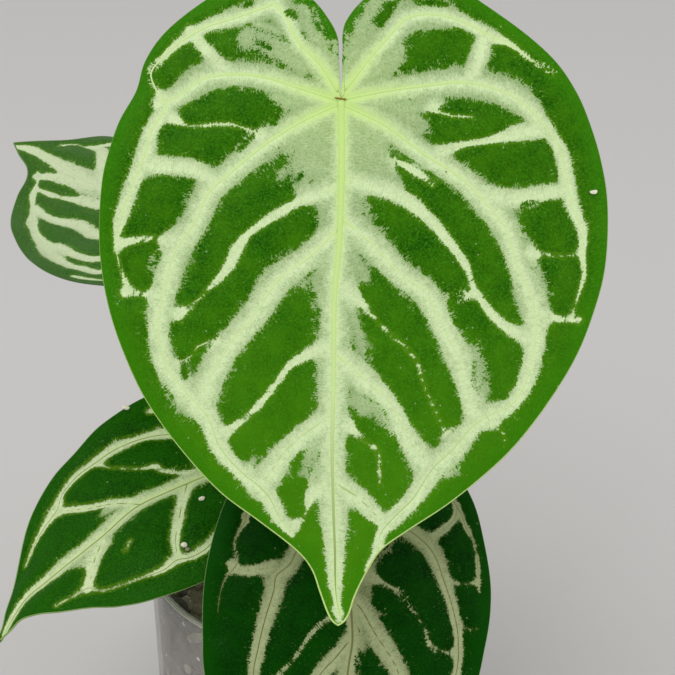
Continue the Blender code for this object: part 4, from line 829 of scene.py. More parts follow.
# painted shade: the low leaf's greens, silver and veins are much darker copies of the front leaf's colours, standing
# in for the shade it hangs in below the front leaf
lowLook = dict(frontLook, deep="002000", green="063c00", tipGreen="063c00", marginGreen="0a4602",
               netGreen="0c4802", halo="2c4a0a", silver="a9b486", wash="879266", pore="46542a",
               yellow="a0a874", vein="8c8c66", veinShade="54561f", rimNear="5c8040", rim="7fa05a",
               gloss=0.03, haloWide=0.9, fleck=0.3)
backLook = dict(frontLook, deep="1a440a", green="385c18", tipGreen="3c5a1c", marginGreen="2e4c16",
                silver="d4e2b8", wash="bacb9e", pore="8ca872", vein="ccdcae", veinShade="a8b888", yellow="d4e2b8",
                rimNear="3c5a22", rim="6a8a48", gloss=0.15, hairs=0.9, fray=1.5, fleck=0.1)
underside = undersideMaterial()
blades = {}
for part, leaf, look in (("front", frontLeaf, frontLook), ("side", sideLeaf, sideLook),
                         ("low", lowLeaf, lowLook), ("back", backLeaf, backLook)):
    blade = makeBlade(part + "Blade", leaf, bladeMaterial(part + "LeafSkin", look), underside)
    veinTissue = threadMaterial(part + "VeinTissue", look["yellow"], look["vein"], look["veinShade"],
                                look["fleck"])
    # rim cord: dark green at the base, pale yellow-green towards the tip, partly the margin's own colour and partly
    # painted highlight of the rolled edge
    rimTissueAndHighlight = threadMaterial(part + "RimTissueAndHighlight", look["rim"], look["rimNear"], look["marginGreen"])
    threads = veinThreads(part + "Veins", leaf, veinTissue)
    rim = marginThread(part + "Rim", leaf, rimTissueAndHighlight)
    for piece in (blade, threads, rim):
        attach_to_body(piece, "root")
        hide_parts("blade_" + part)
    blades[part] = blade
    print("leaf made:", part, len(blade.data.polygons))


def weld(points, faces):
    # Merges points that share a place, and turns a quad with a doubled corner into a triangle
    index, inverse = np.unique(np.round(points, 3), axis=0, return_index=True, return_inverse=True)[1:]
    quads = inverse.ravel()[np.vstack(faces)]
    doubled = quads == np.roll(quads, -1, axis=1)
    count = doubled.sum(axis=1)
    triangles = quads[count == 1][~doubled[count == 1]].reshape(-1, 3)
    return points[index], [quads[count == 0], triangles]


def revolve(profile, sides):
    # Section turned about Z: (r cos a, r sin a, z) over the section's points and the angle a
    profile = np.array(profile, dtype=float)
    turn = np.linspace(0, 2 * np.pi, sides, endpoint=False)
    rings = np.stack([profile[:, :1] * np.cos(turn), profile[:, :1] * np.sin(turn),
                      np.repeat(profile[:, 1:2], sides, axis=1)], axis=-1)
    return rings.reshape(-1, 3), gridFaces(len(profile), sides, closed=True)


def rumple(points, size, seed):
    # Gentle lumps: the mean of eight sine waves in seeded directions, each about one size long
    rng = np.random.default_rng(seed)
    waves = rng.normal(size=(8, 3))
    waves *= (2 * np.pi / size * rng.uniform(0.6, 1.5, 8) / np.linalg.norm(waves, axis=1))[:, None]
    return np.sin(points @ waves.T + rng.uniform(0, 6.3, 8)).mean(axis=1) * 2


# clear pot, in millimetres
potShape = {"height": 120, "topRadius": 64.2, "baseRadius": 63.4, "wall": 1.7, "floor": 2.4, "foot": 2.0,
            "footWidth": 8, "centrePad": 14, "holes": 8, "holeRadius": 4, "holeRing": 34, "sides": 96}


# beads of dried water (1) and dark flecks (0) on the wall: place, radius, kind
potSpots = [((-47.8, -42.7, 114.7), 1.1, 1), ((-47.6, -43, 115), 0.45, 0), ((-52.9, -36.2, 114.6), 0.5, 1),
            ((-57.2, -28.9, 87.4), 0.9, 1), ((-57.7, -28, 89), 0.5, 0), ((-42.6, -47.9, 101.9), 1.2, 1)]


def wallRadius(height):
    share = height / potShape["height"]
    return potShape["baseRadius"] + (potShape["topRadius"] - potShape["baseRadius"]) * share


def drilledSector(inner, outer, low, high):
    # Floor between two radii with one hole: straight lines from the sector's edge to the hole's circle,
    # down the hole's wall and back along the underside; rows run inwards, columns run round the hole
    half = np.pi / potShape["holes"]
    arcCount = potShape["sides"] // potShape["holes"]
    turn = np.linspace(-half, half, arcCount + 1)
    down = np.linspace(outer, inner, 7)
    radius = np.concatenate([np.full(arcCount, outer), down[:-1], np.full(arcCount, inner), down[:0:-1]])
    angle = np.concatenate([turn[:-1], np.full(6, half), turn[:0:-1], np.full(6, -half)])
    edge = np.stack([radius * np.cos(angle), radius * np.sin(angle)], axis=1)
    centre = np.array([potShape["holeRing"], 0])
    outward = (edge - centre) / np.linalg.norm(edge - centre, axis=1)[:, None]
    circle = centre + potShape["holeRadius"] * outward
    rows = [(0, high), (0.5, high), (0.93, high), (1, high - 0.3), (1, low + 0.3), (0.93, low), (0.5, low),
            (0, low)]
    places = [np.column_stack([edge * (1 - share) + circle * share, np.full(len(edge), height)])
              for share, height in rows]
    return np.vstack(places), gridFaces(len(rows), len(edge), closed=True)


def makePot():
    # Turned section: out along the underside, over the foot, up the wall, round the rolled rim, down the
    # inside and back along the floor; the floor between its pads carries eight drain holes
    top, base, height = potShape["topRadius"], potShape["baseRadius"], potShape["height"]
    low = potShape["foot"]
    high = low + potShape["floor"]
    wall = potShape["wall"]
    pad = potShape["centrePad"]
    footIn = base - potShape["footWidth"]
    rim = [(top + 0.5 + 0.55 * math.cos(a), height - 1.6 + 1.6 * math.sin(a)) for a in np.linspace(-0.9, 1.5, 9)]
    lip = [(top - wall + 0.5 - 0.5 * math.cos(a), height - 0.5 + 0.5 * math.sin(a))
           for a in np.linspace(1.4, 0, 5)]
    outside = [(wallRadius(z), z) for z in np.linspace(2.2, height - 4, 24)]
    inside = [(wallRadius(z) - wall, z) for z in np.linspace(height - 2, high + 2.4, 24)]
    heel = [(base - 1.5 + 1.5 * math.sin(a), 1.5 - 1.5 * math.cos(a)) for a in np.linspace(0, 1.5, 6)]
    hollow = [(wallRadius(high) - wall - 2 + 2 * math.cos(a), high + 2 - 2 * math.sin(a))
              for a in np.linspace(0, np.pi / 2, 6)]
    ring = [(46, low), (footIn - 1, low), (footIn - 0.4, low - 0.3), (footIn - 0.1, 0.3), (footIn + 0.4, 0)]
    ring += heel + outside + rim + lip + inside + hollow + [(46, high)]
    disc = [(0, 0), (pad - 0.4, 0), (pad, 0.4), (pad + 0.6, low - 0.3), (pad + 1, low), (22, low)]
    parts = [revolve(ring, potShape["sides"]), revolve(disc, potShape["sides"]),
             revolve([(22, high), (0, high)], potShape["sides"])]
    places, quads = drilledSector(22, 46, low, high)
    for index in range(potShape["holes"]):
        turn = 2 * np.pi * (index + 0.5) / potShape["holes"]
        spin = np.array([[math.cos(turn), -math.sin(turn), 0], [math.sin(turn), math.cos(turn), 0], [0, 0, 1]])
        parts.append((places @ spin.T, quads))
    points, faces = gather([(p, [f]) for p, f in parts])
    points, faces = weld(points, faces)

    # Clear polypropylene: blow-moulded cloudy wall with fine vertical draw lines, scuffs and droplets
    material, tree, shader = newMaterial("clearPotPlastic", roughness=0.2, IOR=1.45,
                                         Specular_IOR_Level=0.4)
    place = addNode(tree, "ShaderNodeTexCoord").outputs["Object"]
    stretched = addNode(tree, "ShaderNodeMapping", {"Vector": place, "Scale": (1, 1, 0.35)})
    drawn = addNode(tree, "ShaderNodeTexNoise", {"Vector": stretched.outputs[0], "Scale": 1 / (3 * mm),
                                                 "Detail": 4.0})
    cloud = addNode(tree, "ShaderNodeTexNoise", {"Vector": place, "Scale": 1 / (7 * mm), "Detail": 5.0,
                                                 "Roughness": 0.65})
    cloud = addNode(tree, "ShaderNodeMapRange", {"Value": cloud.outputs["Fac"], "From Min": 0.35,
                                                 "From Max": 0.65})
    tint = addNode(tree, "ShaderNodeMix", {0: cloud.outputs[0], 6: "92938f", 7: "c0bab7"}, data_type="RGBA")
    tint = tint.outputs[2]
    beadsAndRimHighlight = 0.0
    for spot, size, pale in potSpots:
        away = addNode(tree, "ShaderNodeVectorMath", {0: place, 1: [c * mm for c in spot]},
                       operation="DISTANCE")
        mark = addNode(tree, "ShaderNodeMapRange", {"Value": away.outputs["Value"], "From Min": 0.5 * size * mm,
                                                    "From Max": size * mm, "To Min": 1.0, "To Max": 0.0})
        tint = addNode(tree, "ShaderNodeMix", {0: mark.outputs[0], 6: tint, 7: "d6d4ce" if pale else "2c2a26"},
                       data_type="RGBA").outputs[2]
        beadsAndRimHighlight = addNode(tree, "ShaderNodeMath", {0: beadsAndRimHighlight, 1: mark.outputs[0]}, operation="MAXIMUM").outputs[0]
    # painted highlight: the outer edge of the rim is tinted pale and made more opaque in a thin line, where it gathers
    # light; the mask joins the real water beads
    parts = addNode(tree, "ShaderNodeSeparateXYZ", {0: place}).outputs
    flat = addNode(tree, "ShaderNodeCombineXYZ", {0: parts["X"], 1: parts["Y"]})
    out = addNode(tree, "ShaderNodeVectorMath", {0: flat.outputs[0]}, operation="LENGTH")
    out = addNode(tree, "ShaderNodeMapRange", {"Value": out.outputs["Value"],
                                               "From Min": (potShape["topRadius"] - 0.75) * mm,
                                               "From Max": (potShape["topRadius"] - 0.5) * mm})
    rim = addNode(tree, "ShaderNodeMapRange", {"Value": parts["Z"], "From Min": (potShape["height"] - 0.5) * mm,
                                               "From Max": (potShape["height"] - 0.3) * mm})
    rim = addNode(tree, "ShaderNodeMath", {0: rim.outputs[0], 1: out.outputs[0]}, operation="MULTIPLY")
    rim = rim.outputs[0]
    tint = addNode(tree, "ShaderNodeMix", {0: rim, 6: tint, 7: "e6e2dc"}, data_type="RGBA").outputs[2]
    beadsAndRimHighlight = addNode(tree, "ShaderNodeMath", {0: beadsAndRimHighlight, 1: rim}, operation="MAXIMUM").outputs[0]
    tree.links.new(tint, shader.inputs["Base Color"])
    facing = addNode(tree, "ShaderNodeLayerWeight", {"Blend": 0.35})
    haze = addNode(tree, "ShaderNodeMath", {0: drawn.outputs["Fac"], 1: 0.24, 2: 0.14},
                   operation="MULTIPLY_ADD")
    haze = addNode(tree, "ShaderNodeMath", {0: facing.outputs["Facing"], 1: 0.35, 2: haze.outputs[0]},
                   operation="MULTIPLY_ADD")
    haze = addNode(tree, "ShaderNodeMath", {0: beadsAndRimHighlight, 1: 0.4, 2: haze.outputs[0]},
                   operation="MULTIPLY_ADD", use_clamp=True)
    tree.links.new(haze.outputs[0], shader.inputs["Alpha"])
    relief = addNode(tree, "ShaderNodeMath", {0: drawn.outputs["Fac"], 1: 0.3, 2: beadsAndRimHighlight},
                     operation="MULTIPLY_ADD")
    bump = addNode(tree, "ShaderNodeBump", {"Height": relief.outputs[0], "Strength": 0.4,
                                            "Distance": 0.4 * mm})
    tree.links.new(bump.outputs[0], shader.inputs["Normal"])
    return makePiece("clearPot", points * mm, faces, [material], sharp=50)


# potting mix, in millimetres and counts
mixShape = {"edge": 105, "crown": 109, "neck": 9.7, "cavity": 16.2, "cavityFloor": 58, "neckDepth": 14,
            "topChips": 520, "wallChips": 640, "perliteShare": 0.24, "charcoalShare": 0.07, "seed": 21}


def mixTop(radius):
    # The mix is a little mounded: a cosine from its crown down to the wall
    share = np.minimum(radius / potShape["topRadius"], 1)
    return mixShape["edge"] + (mixShape["crown"] - mixShape["edge"]) * 0.5 * (1 + np.cos(np.pi * share))


def makeChips(places, sizes, stretch, spins, rng):
    # Broken chunks: a small ball whose points are pulled in to eight seeded planes, so that it has flat
    # faces, then stretched, turned and set in place; all chunks are one array
    ball = bmesh.new()
    bmesh.ops.create_icosphere(ball, subdivisions=2, radius=1)
    rays = np.array([v.co[:] for v in ball.verts])
    quads = np.array([[v.index for v in f.verts] for f in ball.faces])
    ball.free()
    count = len(places)
    planes = rng.normal(size=(count, 8, 3))
    planes /= np.linalg.norm(planes, axis=2)[:, :, None]
    reach = np.einsum("nkj,vj->nvk", planes, rays)
    limit = rng.uniform(0.5, 0.85, (count, 1, 8)) / np.maximum(reach, 0.2)
    body = rays[None] * np.minimum(limit.min(axis=2), 1)[:, :, None] * 1.25
    body = body * (sizes[:, None] * stretch)[:, None]
    turned = np.einsum("nij,nvj->nvi", spins, body) + places[:, None]
    faces = (quads[None] + (np.arange(count) * len(rays))[:, None, None]).reshape(-1, 3)
    return turned.reshape(-1, 3), faces, len(rays)


def randomSpins(count, rng, tilt):
    # Turn about Z by any angle after a lean about X and Y of up to tilt radians
    a = rng.uniform(0, 2 * np.pi, count)
    b = rng.uniform(-tilt, tilt, count)
    c = rng.uniform(-tilt, tilt, count)
    one, none = np.ones(count), np.zeros(count)
    aboutZ = np.array([[np.cos(a), -np.sin(a), none], [np.sin(a), np.cos(a), none], [none, none, one]])
    aboutY = np.array([[np.cos(b), none, np.sin(b)], [none, one, none], [-np.sin(b), none, np.cos(b)]])
    aboutX = np.array([[one, none, none], [none, np.cos(c), -np.sin(c)], [none, np.sin(c), np.cos(c)]])
    return np.einsum("ijn,jkn,kln->nil", aboutZ, aboutY, aboutX)


def mixMaterial():
    # Aroid mix: broken bark with a fibrous grain, white porous perlite and black charcoal
    material, tree, shader = newMaterial("barkAndPerliteMix", roughness=0.85, Specular_IOR_Level=0.25)
    place = addNode(tree, "ShaderNodeTexCoord").outputs["Object"]
    kind = addNode(tree, "ShaderNodeAttribute", attribute_name="kind").outputs["Fac"]
    grain = addNode(tree, "ShaderNodeTexNoise", {"Vector": place, "Scale": 1 / (1.1 * mm), "Detail": 5.0,
                                                 "Roughness": 0.7})
    tone = addNode(tree, "ShaderNodeTexNoise", {"Vector": place, "Scale": 1 / (9 * mm), "Detail": 2.0})
    bark = addNode(tree, "ShaderNodeMix", {0: grain.outputs["Fac"], 6: "75695c", 7: "a89c8c"}, data_type="RGBA").outputs[2]
    bark = addNode(tree, "ShaderNodeMix", {0: tone.outputs["Fac"], 6: bark, 7: "8e8375"}, data_type="RGBA").outputs[2]
    isPale = addNode(tree, "ShaderNodeMath", {0: kind, 1: 0.7}, operation="GREATER_THAN").outputs[0]
    isCoal = addNode(tree, "ShaderNodeMath", {0: kind, 1: 0.3}, operation="LESS_THAN").outputs[0]
    pale = addNode(tree, "ShaderNodeMix", {0: grain.outputs["Fac"], 6: "e8e2cc", 7: "fffbe6"}, data_type="RGBA").outputs[2]
    coal = addNode(tree, "ShaderNodeMix", {0: grain.outputs["Fac"], 6: "413e39", 7: "6b6761"}, data_type="RGBA").outputs[2]
    tree.links.new(addNode(tree, "ShaderNodeMix", {0: isCoal, 6: addNode(tree, "ShaderNodeMix", {0: isPale, 6: bark, 7: pale}, data_type="RGBA").outputs[2], 7: coal}, data_type="RGBA").outputs[2], shader.inputs["Base Color"])
    pits = addNode(tree, "ShaderNodeTexVoronoi", {"Vector": place, "Scale": 1 / (0.6 * mm)})
    relief = addNode(tree, "ShaderNodeMath", {0: pits.outputs["Distance"], 1: 0.6, 2: grain.outputs["Fac"]},
                     operation="MULTIPLY_ADD")
    bump = addNode(tree, "ShaderNodeBump", {"Height": relief.outputs[0], "Strength": 0.7,
                                            "Distance": 0.5 * mm})
    tree.links.new(bump.outputs[0], shader.inputs["Normal"])
    return material


def makeMix(material):
    # Body: a turned section with the rootstock's hollow in it, pushed in by up to 1 mm of lumps where it
    # meets the wall and up by as much on top. Chunks lie on it and press against the wall.
    floor = potShape["foot"] + potShape["floor"] + 0.35
    gap = potShape["wall"] + 0.35
    neck, cavity = mixShape["neck"], mixShape["cavity"]
    crest = float(mixTop(neck))
    section = [(0, floor), (30, floor)]
    section += [(wallRadius(z) - gap - max(0, 2 - (z - floor)) ** 2 / 2, z) for z in np.linspace(floor, 104.6, 44)]
    section += [(r, mixTop(r)) for r in np.linspace(wallRadius(105) - gap - 0.2, neck + 0.3, 40)]
    section += [(neck, crest - 0.5), (neck, crest - 14), (cavity, crest - 18), (cavity, 58), (0, 58)]
    points, quads = revolve(section, 120)
    points, faces = weld(points, [quads])
    radius = np.hypot(points[:, 0], points[:, 1])
    lump = 0.5 + 0.5 * np.clip(rumple(points, 6, 4), -1, 1)
    atWall = (radius > 59) & (points[:, 2] > floor + 1)
    onTop = (points[:, 2] > 104.7) & (radius > neck + 1) & (radius < 60)
    points[:, :2] *= (1 - np.where(atWall, lump * 1.0, 0) / np.maximum(radius, 1))[:, None]
    points[:, 2] += np.where(onTop, (lump - 0.5) * 1.6, 0)
    rng = np.random.default_rng(mixShape["seed"])
    topCount, wallCount = mixShape["topChips"], mixShape["wallChips"]
    count = topCount + wallCount
    sizes = rng.uniform(1.6, 4.4, count)
    sizes[:topCount] *= rng.uniform(0.7, 1.1, topCount)
    angle = np.arange(count) * 2.39996
    away = np.sqrt(rng.uniform(0, 1, count) * (59.5 ** 2 - 13.5 ** 2) + 13.5 ** 2)
    away[topCount:] = 60.3 - 0.3 * sizes[topCount:]
    height = mixTop(away) + 0.15 * sizes
    height[topCount:] = rng.uniform(floor + 4, 103, wallCount)
    places = np.stack([away * np.cos(angle), away * np.sin(angle), height], axis=1)
    stretch = np.stack([np.ones(count), rng.uniform(0.55, 0.95, count), rng.uniform(0.4, 0.8, count)], axis=1)
    chips, chipFaces, each = makeChips(places, sizes, stretch, randomSpins(count, rng, 0.6), rng)
    chipRadius = np.hypot(chips[:, 0], chips[:, 1])
    most = wallRadius(chips[:, 2]) - gap + 0.05
    least = neck + 0.4
    chips[:, :2] *= (np.clip(chipRadius, least, most) / chipRadius)[:, None]
    chips[:, 2] = np.maximum(chips[:, 2], floor + 0.2)
    draw = rng.uniform(0, 1, count)
    kinds = np.where(draw < mixShape["perliteShare"], 1.0, np.where(draw > 1 - mixShape["charcoalShare"], 0.0, 0.5))
    kind = np.concatenate([np.full(len(points), 0.5), np.repeat(kinds, each)])
    points, faces = gather([(points, faces), (chips, [chipFaces])])
    return makePiece("pottingMix", points * mm, faces, [material], {"kind": kind}, sharp=28)


# petioles: foot (x, y) on the crown, then the places it passes, in millimetres
petioleShape = {"radius": 2.1, "groove": 0.15, "sides": 28, "step": 1.4,
                "front": [(5, 3), (13, 8, 138), (19, 12, 170), (22, 11, 215), (19, 6, 264), (13.5, 2.5, 297)],
                "side": [(-4, 1), (-11, -1, 128), (-18, -4, 140)],
                "low": [(4, -5), (8, -12, 131), (14, -25, 147), (15.5, -36, 158)],
                "back": [(-1, 8), (-4, 29, 137), (-10, 46, 158), (-20, 56, 187), (-34, 61, 212)]}


def makePetiole(part, leaf, material):
    # Round stem along its smooth route; radius falls 15 percent upwards, swells by 0.8 mm under the blade
    # and by 1.2 mm at the foot, and a shallow groove runs up one side: r (1 - g exp(-(a / 0.5)^2))
    knots = petioleShape[part]
    tip = unit(leaf["tip"])
    face = unit(np.array(leaf["face"]) - tip * np.dot(leaf["face"], tip))
    attach = np.array(leaf["attach"])
    ends = [attach - face * 14, attach - face * 0.5]
    route = smoothRoute([(*knots[0], 116.5), (*knots[0], 124.3), *knots[1:], *ends], -petioleShape["step"])
    share = np.linspace(0, 1, len(route))
    toBlade = np.linalg.norm(route - route[-1], axis=1)
    fromFoot = np.linalg.norm(route - route[0], axis=1)
    radius = petioleShape["radius"] * (1.05 - 0.15 * share)
    radius += 0.8 * np.exp(-((toBlade - 5) / 5) ** 2) + 1.2 * np.exp(-(fromFoot / 9) ** 2)
    wrinkle = 0.05 * np.sin(toBlade * 4.2) * np.exp(-(toBlade / 9) ** 2)
    radius = (radius + wrinkle) * np.clip(fromFoot / 0.6, 0.25, 1) ** 0.5
    angle = np.linspace(0, 2 * np.pi, petioleShape["sides"], endpoint=False)
    groove = petioleShape["groove"] * np.exp(-((angle - np.pi / 2) / 0.5) ** 2)
    section = radius[:, None] * (1 - groove * np.clip((toBlade - 8) / 20, 0, 1)[:, None])
    section += 0.04 * np.sin(7 * angle + route[:, 2:3] * 0.03)
    points, faces = cappedTube(route * mm, section * mm, petioleShape["sides"])
    joint = np.repeat(np.exp(-(toBlade / 11) ** 2), petioleShape["sides"])
    foot = np.repeat(np.exp(-(fromFoot / 12) ** 2), petioleShape["sides"])
    return makePiece(part + "Petiole", points, faces, [material],
                     {"joint": np.append(joint, [0, 1]), "foot": np.append(foot, [1, 0])}, sharp=60)


def petioleMaterial():
    # Petiole: firm living stem with a waxy skin, fine streaks and pale flecks running up it
    material, tree, shader = newMaterial("petioleSkin", roughness=0.42, Specular_IOR_Level=0.35)
    place = addNode(tree, "ShaderNodeTexCoord").outputs["Object"]
    joint = addNode(tree, "ShaderNodeAttribute", attribute_name="joint").outputs["Fac"]
    foot = addNode(tree, "ShaderNodeAttribute", attribute_name="foot").outputs["Fac"]
    lengthwise = addNode(tree, "ShaderNodeMapping", {"Vector": place, "Scale": (1, 1, 0.12)})
    streak = addNode(tree, "ShaderNodeTexNoise", {"Vector": lengthwise.outputs[0], "Scale": 1 / (0.8 * mm),
                                                  "Detail": 3.0})
    fleck = addNode(tree, "ShaderNodeTexVoronoi", {"Vector": lengthwise.outputs[0], "Scale": 1 / (1.5 * mm)})
    fleck = addNode(tree, "ShaderNodeMapRange", {"Value": fleck.outputs["Distance"], "From Min": 0.12,
                                                 "From Max": 0.2, "To Min": 0.7, "To Max": 0.0})
    skin = addNode(tree, "ShaderNodeMix", {0: streak.outputs["Fac"], 6: "4f6f2a", 7: "87a350"}, data_type="RGBA").outputs[2]
    skin = addNode(tree, "ShaderNodeMix", {0: fleck.outputs[0], 6: skin, 7: "b6c88a"}, data_type="RGBA").outputs[2]
    skin = addNode(tree, "ShaderNodeMix", {0: joint, 6: skin, 7: "93b055"}, data_type="RGBA").outputs[2]
    skin = addNode(tree, "ShaderNodeMix", {0: foot, 6: skin, 7: "8f8a5c"}, data_type="RGBA").outputs[2]
    tree.links.new(skin, shader.inputs["Base Color"])
    bump = addNode(tree, "ShaderNodeBump", {"Height": streak.outputs["Fac"], "Strength": 0.35,
                                            "Distance": 0.2 * mm})
    tree.links.new(bump.outputs[0], shader.inputs["Normal"])
    return material


# crown and roots, in millimetres
crownShape = {"top": 118, "radius": 9.4, "sides": 72, "scarSpacing": 3.6, "roots": 8, "rootRadius": 1.5,
              "rootReach": 15, "rootFoot": 62, "nubs": 7}


def makeCrown(material):
    # Stem: a turned section with a domed top, leaf scars as tilted rings 0.5 mm proud, and lumps;
    # stout roots leave it below and short root tips push out of it above the mix
    top, wide = crownShape["top"], crownShape["radius"]
    section = [(0, top - 45), (wide - 6, top - 44), (wide - 2, top - 36), (wide, top - 22)]
    section += [(wide, z) for z in np.linspace(top - 21.5, top - 10, 18)]
    section += [(wide - 0.7 * np.sin((top - 2.5 - z) / 7.5 * np.pi), z) for z in np.linspace(top - 9.5, top - 2.7, 16)]
    section += [(wide - 2.5 + 2.5 * math.cos(a), top - 2.5 + 2.5 * math.sin(a))
                for a in np.linspace(0, np.pi / 2, 8)] + [(3, top), (0, top)]
    points, quads = revolve(section, crownShape["sides"])
    points, faces = weld(points, [quads])
    turn = np.arctan2(points[:, 1], points[:, 0])
    radius = np.hypot(points[:, 0], points[:, 1])
    phase = (points[:, 2] + 1.1 * np.sin(turn + points[:, 2] * 0.7)) / crownShape["scarSpacing"]
    scar = 0.45 * np.exp(-(((phase % 1) - 0.5) / 0.14) ** 2)
    change = np.where(radius > 5, -0.5 + scar + 0.3 * rumple(points, 5, 9), 0)
    points[:, :2] *= (1 + change / np.maximum(radius, 1))[:, None]
    parts = [(points, faces)]
    brown = [np.full(len(points), 0.0)]
    for index in range(crownShape["roots"]):
        turn = 2 * math.pi * index / crownShape["roots"] + 0.2
        start = top - 32 - 2.5 * (index % 3)
        out = np.array([math.cos(turn), math.sin(turn), 0])
        reach = crownShape["rootReach"] - crownShape["rootRadius"]
        knots = [out * 3 + (0, 0, start), out * 0.75 * reach + (0, 0, start - 4),
                 out * 0.92 * reach + (0, 0, start - 12),
                 out * 0.8 * reach + (0, 0, crownShape["rootFoot"] + 1.5 + index % 3)]
        route = smoothRoute(knots, -1.5)
        share = np.linspace(0, 1, len(route))
        girth = crownShape["rootRadius"] * (1 - 0.4 * share) * np.clip((1 - share) * 9, 0.3, 1)
        parts.append(cappedTube(route, girth, 12))
        brown.append(np.append(np.repeat(share, 12), [0, 1]))
    for index in range(crownShape["nubs"]):
        turn = 2.39996 * index + 0.7
        out = np.array([math.cos(turn), math.sin(turn), 0])
        lift = 111.5 + 0.8 * (index % 3)
        route = smoothRoute([out * 7.5 + (0, 0, lift), out * 10.2 + (0, 0, lift - 0.8),
                             out * 11.6 + (0, 0, lift - 2.6), out * 12 + (0, 0, 107.5)], -0.5)
        share = np.linspace(0, 1, len(route))
        parts.append(cappedTube(route, 1.0 - 0.3 * share ** 2, 12))
        brown.append(np.append(np.repeat(share, 12), [0, 1]))
    points, faces = gather(parts)
    return makePiece("crown", points * mm, faces, [material], {"outward": np.concatenate(brown)}, sharp=50)


def crownMaterial():
    # Crown: corky stem skin, greenish between its brown ringed scars; roots are tan and felted
    material, tree, shader = newMaterial("corkyCrown", roughness=0.75, Specular_IOR_Level=0.25)
    place = addNode(tree, "ShaderNodeTexCoord").outputs["Object"]
    outward = addNode(tree, "ShaderNodeAttribute", attribute_name="outward").outputs["Fac"]
    patch = addNode(tree, "ShaderNodeTexNoise", {"Vector": place, "Scale": 1 / (4 * mm), "Detail": 5.0})
    grain = addNode(tree, "ShaderNodeTexNoise", {"Vector": place, "Scale": 1 / (0.7 * mm), "Detail": 4.0})
    cork = addNode(tree, "ShaderNodeMix", {0: grain.outputs["Fac"], 6: "4a3420", 7: "9a7c50"}, data_type="RGBA").outputs[2]
    skin = addNode(tree, "ShaderNodeMapRange", {"Value": patch.outputs["Fac"], "From Min": 0.48,
                                                "From Max": 0.62}, interpolation_type="SMOOTHSTEP")
    skin = addNode(tree, "ShaderNodeMix", {0: skin.outputs[0], 6: cork, 7: "6f7442"}, data_type="RGBA").outputs[2]
    rooty = addNode(tree, "ShaderNodeMath", {0: outward, 1: 1.6}, operation="MULTIPLY", use_clamp=True)
    tree.links.new(addNode(tree, "ShaderNodeMix", {0: rooty.outputs[0], 6: skin, 7: addNode(tree, "ShaderNodeMix", {0: grain.outputs["Fac"], 6: "8f7a58", 7: "c9b892"}, data_type="RGBA").outputs[2]}, data_type="RGBA").outputs[2],
                   shader.inputs["Base Color"])
    bump = addNode(tree, "ShaderNodeBump", {"Height": grain.outputs["Fac"], "Strength": 0.6,
                                            "Distance": 0.4 * mm})
    tree.links.new(bump.outputs[0], shader.inputs["Normal"])
    return material


# dry sheaths: middle and width of the arc in degrees, height in millimetres
sheathShape = {"right": (-12, 54, 21), "left": (243, 78, 17), "thickness": 0.55, "flare": 3.4}


def makeSheath(part, material):
    # Papery cone piece: angle = middle + s width (1 - 0.9 t^2.2), radius = crown + flare t^1.5, with
    # lengthwise pleats of 0.12 mm and a torn top; the outer face lies one thickness further out
    middle, width, height = sheathShape[part]
    rows, columns = 46, 60
    t = np.linspace(0, 1, rows)[:, None]
    s = np.linspace(-1, 1, columns)[None]
    torn = 1 - 0.05 * (np.abs(np.sin(7 * s + 1)) + np.abs(np.sin(17 * s))) * (1 - np.abs(s)) ** 0.3
    rise = t * torn
    angle = np.radians(middle + s * width / 2 * (1 - 0.9 * rise ** 2.2))
    pleat = 0.12 * np.sin(26 * s + 2 * t) + 0.1 * np.sin(11 * s - 3 * t)
    base = float(mixTop(9.7)) + 0.6
    inner = crownShape["radius"] + 0.45 + sheathShape["flare"] * rise ** 1.5 + pleat * np.clip(3 * t, 0, 1)
    layers = [np.stack([r * np.cos(angle), r * np.sin(angle), base + height * rise], axis=-1).reshape(-1, 3)
              for r in (inner + sheathShape["thickness"], inner)]
    index = np.arange(rows * columns).reshape(rows, columns)
    front = gridFaces(rows, columns)
    loop = np.concatenate([index[0], index[1:, -1], index[-1, -2::-1], index[-2:0:-1, 0]])
    after = np.roll(loop, -1)
    total = rows * columns
    rim = np.stack([loop, loop + total, after + total, after], axis=1)
    points = np.vstack(layers)
    across = np.tile(np.broadcast_to(s, (rows, columns)).ravel(), 2)
    lift = np.tile(np.broadcast_to(t, (rows, columns)).ravel(), 2)
    return makePiece(part + "Sheath", points * mm, [front, front[:, ::-1] + total, rim], [material],
                     {"across": across, "lift": lift}, sharp=60)


